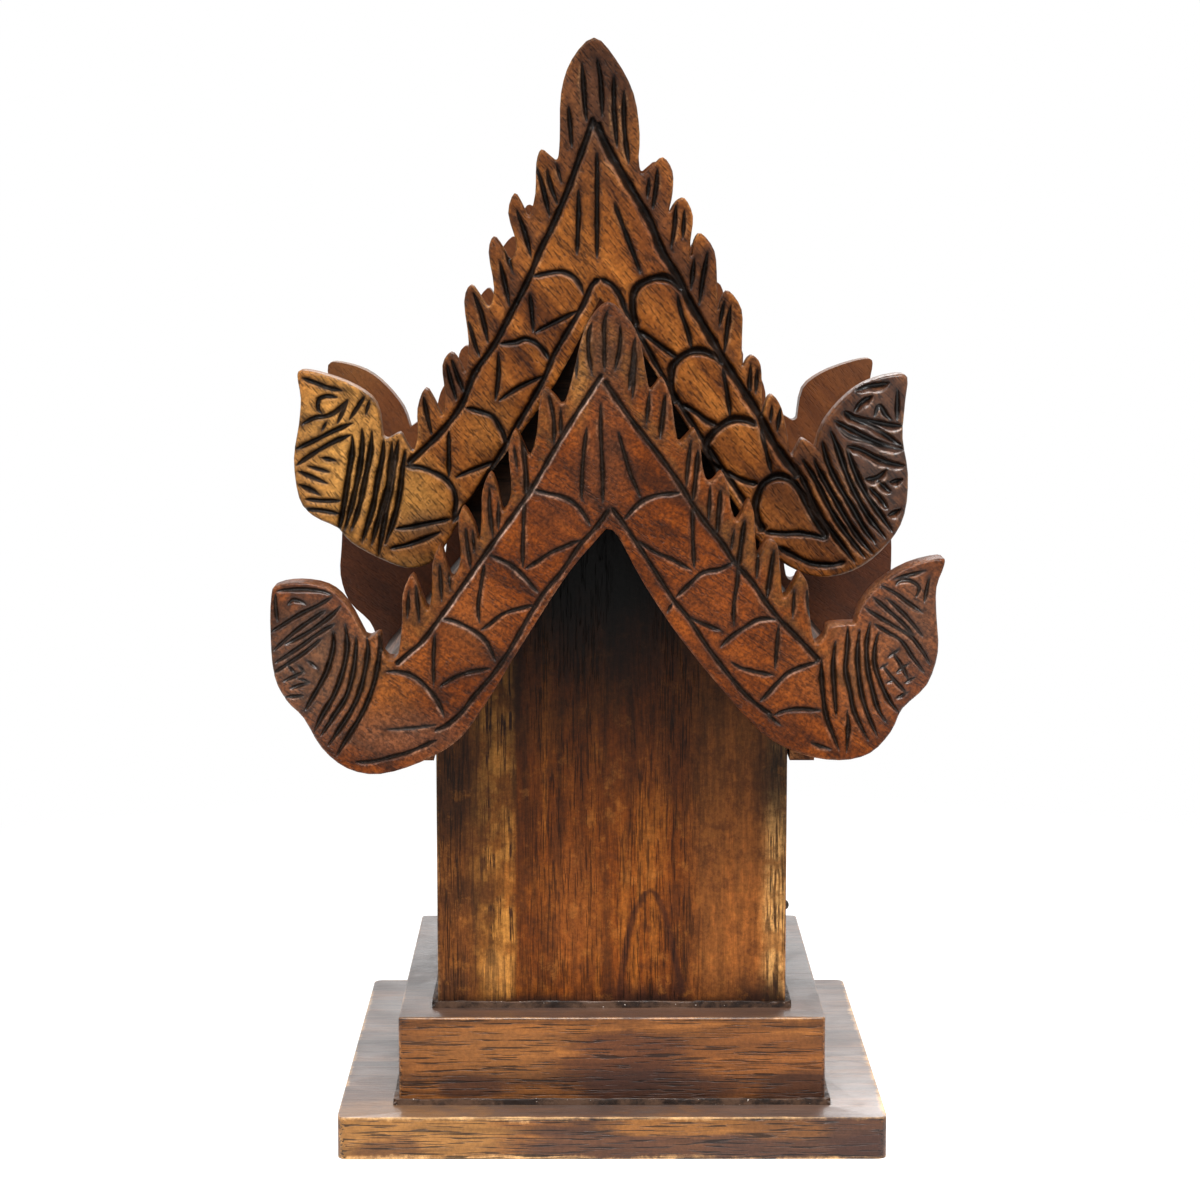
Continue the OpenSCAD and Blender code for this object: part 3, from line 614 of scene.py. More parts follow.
# Painted shade near the gable boards, where the panels lie between them.
along = plus(sums("ABSOLUTE", split(wood.at)[1]), wood.blotch, 0.01)
stain(wood, fade(along, 0.045, 0.062, 0, 0.9), (26, 18, 14))
wood.rough = lay(dust, wood.rough, (0.8, 0.8, 0.8, 1))
roof_teak = end_wood(wood)
for name in ("lower_left_panel", "lower_right_panel", "upper_left_panel",
             "upper_right_panel", "lower_front_ridge", "lower_rear_ridge", "upper_ridge"):
    board = eased(solid[name], name.replace("panel", "roof").replace("ridge", "cap"), 0.5,
                  lambda a, b: (a - b).length > 20)
    settle(board, "roof", roof_teak, "roof_wood", name)

# The ties and ribs are near black as painted shade, as they stand in the dark under the roof.
painted_shade_rib_teak = plain_wood("rib teak in painted shade", ((50, 34, 24), (36, 25, 19), (22, 16, 13)),
                      (0.6, 0.6, 0.1), (0, 0, 0), 0.75)
give(painted_shade_rib_teak, "front_tie", "rear_tie", "front_rib", "rear_rib")


# Lower gable boards: thick teak planks sawn to a flame outline, then carved
# with a knife and a V gouge. Borders run down both edges, with fan scales
# between them and a curled naga's tail at each end. The cuts hold black wax.

# A cut's width to the left and right of its run, its depth, its fading ends, the
# strength of the painted highlight on its lower wall, and how much of its width is black
BORDER = (1.5, 1.7, 1.3, 0.5, 0.15, 1)
EDGE = (1.35, 1.35, 1.1, 1.5, 0.2, 1)
SCALE = (1.25, 1.25, 1.0, 3.0, 0.45, 1)
BRIGHT = (1.2, 1.5, 1.2, 0.5, 1.0, 1)
FAINT = (1.0, 1.0, 0.5, 3.0, 0.0, 1)
KNIFE = (1.2, 1.2, 1.0, 3.0, 0.05, 1)
GROOVE = (1.55, 1.55, 1.6, 6.0, 0.1, 1)
TOOTH = (1.25, 1.25, 1.2, 4.0, 0.1, 1)
GOUGE = (1.5, 1.5, 1.6, 3.0, 0.1, 1)

# The runs of each cut, in millimetres from under the ridge. The two borders come
# first: the flame teeth rise beyond them
lower_cuts = (
    (BRIGHT, [(-3, 11.5), (-4.5, 9.5), (-13.5, -4.5), (-23.5, -21.5), (-28, -28), (-39.5, -44),
      (-50.5, -59.5), (-55, -65.5), (-59, -69), (-63, -72.5)]),
    (BORDER, [(-2.5, 10), (1.5, 4), (6.5, -3), (12, -10), (16.5, -16), (20, -21), (23, -26),
      (27, -31.5), (31.5, -37), (35, -42.5), (40, -48), (44.5, -54.5), (49, -60), (54, -65),
      (60, -71.5)]),
    (EDGE, [(-1, -27), (-5, -32.5), (-9.5, -37.5), (-15, -45.5), (-20, -51.5), (-25, -59.5),
      (-29.5, -67.5), (-34.5, -75), (-40.5, -82), (-44, -86.5), (-48, -90), (-52, -92)],
     [(-0.5, -26.5), (3.5, -32), (7.5, -38), (13, -46.5), (17.5, -53.5), (22, -59), (26.5, -66),
      (30.5, -71.5), (36.5, -79), (41, -83.5), (46.5, -87.5)]),
    (KNIFE, [(-3.5, 3.5), (-3.5, -5.5), (-3, -17), (-3, -25.5)],
     [(-7.5, -3.5), (-8.5, -11.5), (-9, -20), (-9, -25)],
     [(1.5, -5), (3.5, -12), (5, -17), (8, -24)]),
    # fan scales down the left side
    (SCALE, [(-23.5, -21.5), (-19, -22.5), (-13.5, -24), (-9.5, -27), (-6.5, -32)],
     [(-35.5, -40.5), (-32, -42), (-28.5, -44), (-25, -47.5), (-21.5, -51.5)],
     [(-50, -59), (-46.5, -59.5), (-43, -61), (-39.5, -63), (-36.5, -66), (-34, -71.5)],
     [(-66, -74.5), (-62.5, -74.5), (-58.5, -75.5), (-55, -78), (-52, -81.5), (-50, -85),
      (-49, -88)]),
    (KNIFE, [(-25.5, -24), (-26, -37), (-26, -44.5)],
     [(-25.5, -44.5), (-22, -42.5), (-17.5, -39.5), (-9, -36)],
     [(-37, -43), (-38, -48.5), (-39, -55.5), (-38.5, -60.5)],
     [(-38.5, -62.5), (-35.5, -60.5), (-32.5, -58), (-29, -56.5), (-22.5, -55)],
     [(-51.5, -63.5), (-52, -70), (-52, -78.5)],
     [(-50.5, -79), (-45.5, -76), (-41, -74.5), (-35.5, -73.5)],
     [(-75, -101), (-70.5, -101), (-64, -99.5), (-59, -98), (-51, -94.5)]),
    (FAINT, [(-66, -91.5), (-58, -91), (-51, -90)]),
    # left tail
    (KNIFE, [(-97.5, -51), (-93, -50.5), (-88, -50.5), (-84, -51), (-81, -52)],
     [(-97.5, -51.5), (-97.5, -56), (-97, -60)],
     [(-94, -55), (-92.5, -53.5), (-90, -54), (-88.5, -55)],
     [(-99, -63), (-91, -58), (-85, -55), (-81, -52.5)],
     [(-98.5, -68.5), (-91, -62), (-83, -56.5)],
     [(-95, -66.5), (-89, -63.5), (-82, -58.5), (-78.5, -55)],
     [(-98, -72), (-91, -67.5), (-85.5, -63.5), (-80.5, -60.5)],
     [(-98.5, -75), (-94, -72), (-89.5, -69), (-84, -64.5)], [(-91.5, -72.5), (-89, -75)],
     [(-89, -71), (-85.5, -73.5)], [(-94.5, -72.5), (-91.5, -75.5)],
     [(-96, -77.5), (-89.5, -74.5)], [(-94, -79.5), (-87.5, -77.5)],
     [(-91.5, -76.5), (-87.5, -77.5)], [(-96, -82), (-89.5, -81.5)]),
    (GROOVE, [(-81, -62.5), (-81, -67.5), (-83, -74.5), (-86.5, -81), (-89.5, -86)],
     [(-77.5, -60.5), (-77, -67.5), (-78.5, -75), (-81, -81.5), (-84.5, -87.5), (-87, -92.5)],
     [(-74.5, -64), (-74.5, -68.5), (-75.5, -75.5), (-77.5, -82), (-81, -87.5), (-85, -93.5)],
     [(-71.5, -63.5), (-71, -68.5), (-72.5, -77), (-74.5, -83), (-77.5, -88.5), (-83, -96.5)],
     [(-68, -62.5), (-67.5, -67.5), (-68.5, -74.5), (-70.5, -81.5), (-73.5, -88), (-78.5, -96),
      (-80.5, -99.5)]),
    # fan scales down the right side
    (SCALE, [(3, -30.5), (6, -27), (9, -24.5), (13.5, -23), (19.5, -22.5)],
     [(35, -42.5), (31, -44.5), (26, -45.5), (22.5, -48.5), (18, -53)],
     [(31, -67.5), (34, -64.5), (37.5, -62), (41.5, -59.5), (44.5, -59), (47.5, -59.5)],
     [(60, -71.5), (56.5, -72.5), (51.5, -74.5), (48, -77.5), (45, -81), (42.5, -83.5)]),
    (KNIFE, [(23, -25), (23, -34), (23.5, -44.5)],
     [(6.5, -36), (12, -39.5), (16.5, -41.5), (23, -45)],
     [(36, -42.5), (36, -48), (35, -54.5), (35, -61)], [(22, -58.5), (26, -60.5), (31.5, -62.5)],
     [(17.5, -54), (15.5, -57.5)], [(48, -60.5), (47.5, -67.5), (47, -74)],
     [(34, -71.5), (37.5, -73.5), (43.5, -75), (47, -75.5)],
     [(46.5, -87.5), (50, -86), (54.5, -85.5), (61, -86)],
     [(44.5, -87), (46.5, -88.5), (49, -90.5)], [(57.5, -95.5), (60.5, -96.5), (64, -97.5)]),
    # right tail
    (KNIFE, [(81, -47.5), (85, -46.5), (90.5, -45)],
     [(81.5, -49.5), (83, -48), (86, -48), (88.5, -50), (87.5, -53)], [(91.5, -46.5), (90, -54.5)],
     [(77.5, -49.5), (81.5, -51.5), (85.5, -54.5), (90, -57.5)],
     [(75, -52.5), (79.5, -56.5), (84, -60.5), (87.5, -64.5)],
     [(79, -53), (84.5, -58), (90, -64.5)],
     [(72.5, -55.5), (76, -58), (81, -61), (86.5, -64.5), (90, -69), (92, -72.5)],
     [(75.5, -60.5), (79.5, -63), (83.5, -65.5), (87, -70.5), (90.5, -75)],
     [(79.5, -70.5), (83, -68)], [(77, -74), (80, -72)], [(82, -75), (86, -72)],
     [(79, -78), (82.5, -76.5)], [(84.5, -78), (88, -76)], [(82, -82.5), (86, -80.5)],
     [(81, -69), (83.5, -72.5), (86, -77.5)], [(78, -72.5), (82, -77.5), (85.5, -81)]),
    (GROOVE, [(77, -63), (76, -67), (76, -72.5), (78, -78.5), (80.5, -83.5), (83.5, -87)],
     [(60.5, -70.5), (60.5, -75), (61, -81), (62, -87.5), (64, -93), (66, -98)],
     [(64.5, -65.5), (64, -70.5), (64, -75.5), (64.5, -82), (65, -88)],
     [(68, -61), (68, -67), (67.5, -74), (69, -81), (70, -86), (72.5, -91.5), (74.5, -95)],
     [(68, -86), (68.5, -90.5), (68, -98.5)],
     [(71.5, -62), (71, -67), (71, -72.5), (72, -80), (73.5, -85.5), (75.5, -90.5), (77, -94)],
     [(74.5, -60), (73.5, -67), (74, -74), (75.5, -80.5), (77, -85.5), (79.5, -89.5)]),
    # finial
    (TOOTH, [(-10.5, 19.5), (-10.5, 10.5)], [(-6, 26.5), (-7, 23), (-7, 17.5), (-6, 11.5)],
     [(-1.5, 30), (-2.5, 26), (-2.5, 20), (-2.5, 12.5)], [(2, 26), (2, 20), (0.5, 12.5)],
     [(6.5, 22.5), (6, 19.5), (5.5, 14.5), (4.5, 7)]),
    # flame teeth, left then right
    (TOOTH, [(-18.5, 6), (-17, -1.5), (-17, -9)], [(-15, 2), (-15, -7)],
     [(-28.5, -8.5), (-27.5, -16)], [(-35.5, -20.5), (-35.5, -27.5), (-34.5, -36)],
     [(-33, -24.5), (-33, -33.5)], [(-42.5, -32.5), (-42, -37.5), (-41, -45)],
     [(-40.5, -33), (-40, -40)], [(-50, -43), (-49.5, -54)], [(-47.5, -45), (-47, -51)],
     [(-59, -50.5), (-59.5, -59)], [(-57, -49), (-56, -60)], [(6.5, 19), (5.5, 4.5)],
     [(10.5, 7), (9.5, -3)], [(22.5, -7), (21.5, -14.5), (21, -21.5)], [(28, -20), (27.5, -30.5)],
     [(35, -33), (34, -39)], [(42, -39), (41.5, -47.5)], [(52.5, -50.5), (52, -59)],
     [(56, -50.5), (57, -59)]),
    (GOUGE, [(-26, -6), (-25.5, -11.5), (-25, -17.5), (-25, -24)], [(15, 6), (13.5, -7)],
     [(24.5, -10), (24, -16), (23, -25)], [(31, -21.5), (30, -34.5)],
     [(38, -30.5), (37, -37.5), (36, -45)], [(46.5, -39), (45.5, -46), (44.5, -53.5)]),
)


def run_of(points, steps=5):
    """A smooth run through given points."""
    p = np.array([points[0]] + points + [points[-1]], float)
    out = []
    for a, b, c, d in zip(p, p[1:], p[2:], p[3:]):
        for t in np.arange(steps) / steps:
            out.append(0.5 * (2 * b + (c - a) * t + (2 * a - 5 * b + 4 * c - d) * t ** 2 +
                              (3 * b - a - 3 * c + d) * t ** 3))
    return np.array(out + [p[-1]])


def nearest(run, at):
    """Distance of each point from a run, its side, its place along it, and if it is below."""
    start, step = run[:-1], np.diff(run, axis=0)
    length = np.maximum(np.hypot(*step.T), 1e-6)
    rel = at[:, None] - start
    t = np.clip((rel * step).sum(2) / length ** 2, 0, 1)
    off = rel - t[..., None] * step
    away = np.hypot(off[..., 0], off[..., 1])
    best = away.argmin(1)
    pick = np.arange(len(at))
    side = np.sign(step[best, 0] * off[pick, best, 1] - step[best, 1] * off[pick, best, 0])
    along = (np.cumsum(length) - length)[best] + t[pick, best] * length[best]
    return away[pick, best], side, along, length.sum(), off[pick, best, 1] < 0


def round_off(share):
    """A soft hump that is 1 at nothing and nothing from 1 on."""
    return 0.5 + 0.5 * np.cos(np.pi * np.clip(share, 0, 1))


def cut_marks(cuts, at, broad):
    """Depth of carving at each point, and the wax, the rubbed lips with a painted highlight on
    their lower side, and a painted highlight on the lower wall of its cuts.
    """
    depth, wax, lip, painted_highlight, flame = np.zeros((5, len(at)))
    close = np.full(len(at), 99.0)
    border_room, room, flame_reach = 18, 3.5, 17
    for i, (cut, points) in enumerate((cut, run) for cut, *runs in cuts for run in runs):
        left, right, deep, ends, highlight_strength, black = cut
        run = run_of(points)
        reach = border_room if i < 2 else room
        here = np.flatnonzero(((at > run.min(0) - reach) & (at < run.max(0) + reach)).all(1))
        if not len(here):
            continue
        away, side, along, length, below = nearest(run, at[here])
        fading = np.clip(np.minimum(along, length - along) / ends, 0, 1) ** 0.5
        wander = 1 + 0.1 * np.sin(along * 0.6 + points[0][0]) + 0.04 * np.sin(along * 1.3)
        swell = (0.15 + 0.85 * fading) * wander
        wide = broad * np.where(side > 0, left, right) * swell

        def raise_to(layer, level):
            layer[here] = np.maximum(layer[here], level)

        raise_to(depth, deep * swell * round_off(away / wide) +
                 0.16 * np.exp(-(away / 1.8) ** 2))
        raise_to(wax, round_off(away / wide / black) * (0.3 + 0.7 * fading))
        # Pale rubbed lips, stronger on the lower side as a painted highlight.
        raise_to(lip, np.exp(-((away - wide * 0.95) / 0.3) ** 2) * fading *
                 np.where(below, 1.0, 0.15))
        # Painted highlight on the lower wall of the cut.
        raise_to(painted_highlight, np.exp(-((away - wide * 0.75) / 0.22) ** 2) * fading *
                 np.where(below, highlight_strength, 0))
        close[here] = np.minimum(close[here], away)
        if i < 2:
            beyond = (side < 0) if i == 0 else (side > 0)
            raise_to(flame, beyond * np.clip(away / 1.5, 0, 1) *
                     np.clip((flame_reach - away) / 4, 0, 1))
    return depth, wax, lip, close, painted_highlight, flame


def rim_distance(rim, at, far=4.0):
    """Distance of points from the sawn edge, in millimetres."""
    spots = [a + (b - a) * t for a, b in rim for t in np.linspace(0, 1, 6, endpoint=False)]
    tree = kdtree.KDTree(len(spots))
    for i, (x, z) in enumerate(spots):
        tree.insert((x, z, 0), i)
    tree.balance()
    return np.array([min(tree.find((x, z, 0))[2], far) for x, z in at])


def paint(mesh, name, front, *layers):
    """Keeps up to three layers of marks on the face's points, for the finish to read."""
    marks = np.zeros((len(mesh.vertices), 4))
    marks[:, 3] = 1
    for i, layer in enumerate(layers):
        marks[front, i] = layer
    mesh.color_attributes.new(name, "FLOAT_COLOR", "POINT").data.foreach_set(
        "color", marks.ravel())


def carve(source, name, cuts, ridge, broad):
    """A sawn board, its face laid out finely, cut and rubbed as a carver does."""
    fine, worn, skin = 0.62, 0.9, 0.00005
    plank = eased(source, "plank", 0.01, lambda a, b: False)
    low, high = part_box(source.name)
    size = high - low
    columns, rows = (int((side * 1000 + 2) / fine) for side in (size.x, size.z))
    bpy.ops.mesh.primitive_grid_add(
        x_subdivisions=columns, y_subdivisions=rows, size=1, rotation=(math.pi / 2, 0, 0),
        location=((low.x + high.x) / 2, low.y + skin, (low.z + high.z) / 2))
    piece = bpy.context.object
    piece.name = piece.data.name = name
    piece.scale = (size.x + 0.002, size.z + 0.002, 1)
    bpy.ops.object.transform_apply(location=True, rotation=True, scale=True)
    mode("EDIT")
    bpy.ops.mesh.select_all(action="SELECT")
    bpy.ops.mesh.extrude_region_move(
        TRANSFORM_OT_translate={"value": (0, size.y - 2 * skin, 0)})
    bpy.ops.mesh.dissolve_faces()
    mode("OBJECT")
    saw = piece.modifiers.new("saw", "BOOLEAN")
    saw.operation, saw.solver, saw.object = "INTERSECT", "MANIFOLD", plank
    bpy.ops.object.modifier_apply(modifier="saw")
    bpy.data.objects.remove(plank)

    mesh = piece.data
    for stage in ("mark", "cut"):
        co = corners(mesh)
        on_face = np.abs(co[:, 1] - (low.y + skin) * 1000) < 0.01
        front = np.flatnonzero(on_face)
        at = co[front][:, [0, 2]] - (0, ridge)
        faces = [p for p in mesh.polygons if all(on_face[i] for i in p.vertices)]
        shared = {}
        for p in faces:
            for key in p.edge_keys:
                shared[key] = shared.get(key, 0) + 1
        place = dict(zip(front, at))
        rim = [(place[a], place[b]) for (a, b), n in shared.items() if n == 1]
        edge = rim_distance(rim, at)
        depth, wax, lip, close, painted_highlight, flame = cut_marks(cuts, at, broad)
        if stage == "mark":
            near = np.full(len(co), 99.0)
            near[front] = np.minimum(close - 0.25, edge + 0.4)
            for p in mesh.polygons:
                p.select = False
            for p in faces:
                p.select = bool(min(near[i] for i in p.vertices) < 1.0)
            mode("EDIT")
            bpy.ops.mesh.select_mode(type="FACE")
            bpy.ops.mesh.subdivide(number_cuts=1)
            mode("OBJECT")
    x, z = at.T
    uneven = (0.10 * np.sin(x * 0.33 + z * 0.21 + 1) + 0.08 * np.sin(z * 0.47 - x * 0.19) +
              0.05 * np.sin(x * 0.9 + 2 * np.sin(z * 0.5)))
    roll = worn * (1 + 0.35 * np.sin(x * 0.21 + 2 * np.sin(z * 0.17)))
    inward = np.clip(edge / roll, 0, 1)
    depth += 0.2 + uneven + roll * (1 - np.sqrt(1 - (1 - inward) ** 2))
    co[front, 1] += np.clip(depth, 0.0, 3.0)
    move_corners(mesh, co)
    # The third carving layer darkens the wood beside the cuts: wax dirt and painted shade.
    paint(mesh, "carving", front, wax, np.maximum(lip * 0.6, np.clip(1 - edge / 0.8, 0, 1)),
          np.clip(1 - close / 2.3, 0, 1))
    paint(mesh, "highlight_and_teeth", front, painted_highlight, flame)
    select_only(piece)
    smooth(50)
    return piece


def board_pair(tier, wood, cuts, ridge, broad, middle, drop):
    """Carves a front board, and sets a second one from the same pattern facing the rear."""
    finish = end_wood(wood, depth=0.0003)
    front = carve(solid[tier + "_front_board"], tier + "_front_gable", cuts, ridge, broad)
    rear = front.copy()
    rear.data = front.data.copy()
    rear.name = rear.data.name = tier + "_rear_gable"
    link(rear)
    rear.data.transform(Matrix.Translation((2 * middle / 1000, 0, -drop / 1000)) @
                        Matrix.Diagonal((-1, -1, 1, 1)))
    settle(front, "roof", finish, tier + "_board_wood", tier + "_front_board")
    settle(rear, "roof", finish, tier + "_board_wood", tier + "_rear_board")


def read_marks(wood, name):
    marks = put("VertexColor", {}, wood.at.id_data, layer_name=name).outputs[0]
    return put("SeparateColor", {0: marks}).outputs


def wax_cuts(wood, pale, within, teeth, wax_colour, sawn_edge):
    """Black wax in the cuts, stain rubbed off their lips and the sawn arrises, painted highlights
    on the lower lips and walls, and painted shade beside the cuts.
    """
    stain(wood, times(sawn(wood, 1, 0.6, 0.3), 0.5), sawn_edge)
    wax, lip, shade = read_marks(wood, "carving")[:3]
    painted_highlight, flame = read_marks(wood, "highlight_and_teeth")[:2]
    inner = times(facing(wood)[1], sums("SIGN", split(wood.at)[1]))
    stain(wood, fade(inner, -0.5, -0.9, 0, 0.75), within)
    calm(wood, fade(inner, -0.5, -0.9))
    stain(wood, times(flame, fade(wood.blotch, 0.42, 0.58, 0.75, 0.1)), teeth)
    # Darker beside the cuts: wax dirt and painted shade.
    stain(wood, times(shade, fade(wood.blotch, 0.38, 0.62, 1.0, 0.35)), (40, 25, 19))
    ragged = times(lip, fade(wood.blotch, 0.45, 0.6, 0.0, 1.0))
    ragged = times(ragged, fade(wood.grit, 0.4, 0.6, 0.3, 1.0))
    # Rubbed lips, with a painted highlight on their lower side.
    stain(wood, times(ragged, 0.35), pale)
    stain(wood, fade(wax, 0.12, 0.6, 0, 0.95), wax_colour)
    # Painted highlight on the lower walls of the cuts.
    stain(wood, times(painted_highlight, fade(wood.blotch, 0.44, 0.6, 0.15, 0.85)), (168, 138, 122))


wood = begin_wood("lower board teak", (114, 59, 21), (92, 45, 15), (60, 31, 15),
                  (0.2, 0.9, 0.4), turn=(0, -35, 0), rings=0.1, pores=0.5, stretch=0.25,
                  speckle=0.42, streaks=0.08, hairs=(1900, 0.2))
stain_patches(wood, -99, 20, (
    (-70, 150, 16, 18, (136, 80, 38), 0.6), (-42, 168, 12, 14, (124, 70, 34), 0.5),
    (-16, 200, 10, 14, (84, 46, 26), 0.5), (-88, 155, 16, 22, (90, 67, 50), 0.6),
    (88, 168, 16, 22, (84, 60, 45), 0.6), (72, 152, 11, 16, (146, 86, 46), 0.6),
    (-3, 215, 9, 20, (80, 50, 34), 0.5), (-2, 245, 10, 16, (74, 52, 38), 0.7),
    (-10, 240, 4, 16, (134, 92, 48), 0.8), (30, 170, 16, 20, (118, 62, 29), 0.4),
    (62, 152, 16, 16, (126, 70, 34), 0.5), (-62, 133, 22, 8, (84, 62, 50), 0.5)), 0.9)
wax_cuts(wood, (164, 122, 92), (66, 43, 34), (104, 66, 34), (36, 28, 23), (88, 52, 32))
polish = sums("MAXIMUM", patch(wood, (-86, -99, 155), (20, 20, 30), 0.6),
              patch(wood, (82, -99, 160), (22, 20, 34), 0.6))
wood.wax = fade(times(polish, wood.blotch), 0.1, 0.5, 0, 0.3)
lower_ridge = 226.135
board_pair("lower", wood, lower_cuts, lower_ridge, 0.86, 0, 0)


# Upper gable boards: the taller pair, from paler teak with an open grain that
# runs down to the right. The right-hand scales are cut deepest and rounded.

DEEP = (2.6, 1.4, 1.7, 1.0, 0.2, 1)
WIDE = (1.5, 2.8, 1.6, 0.5, 0.25, 1)
FACET = (1.0, 2.6, 1.8, 2.5, 1.0, 0.55)

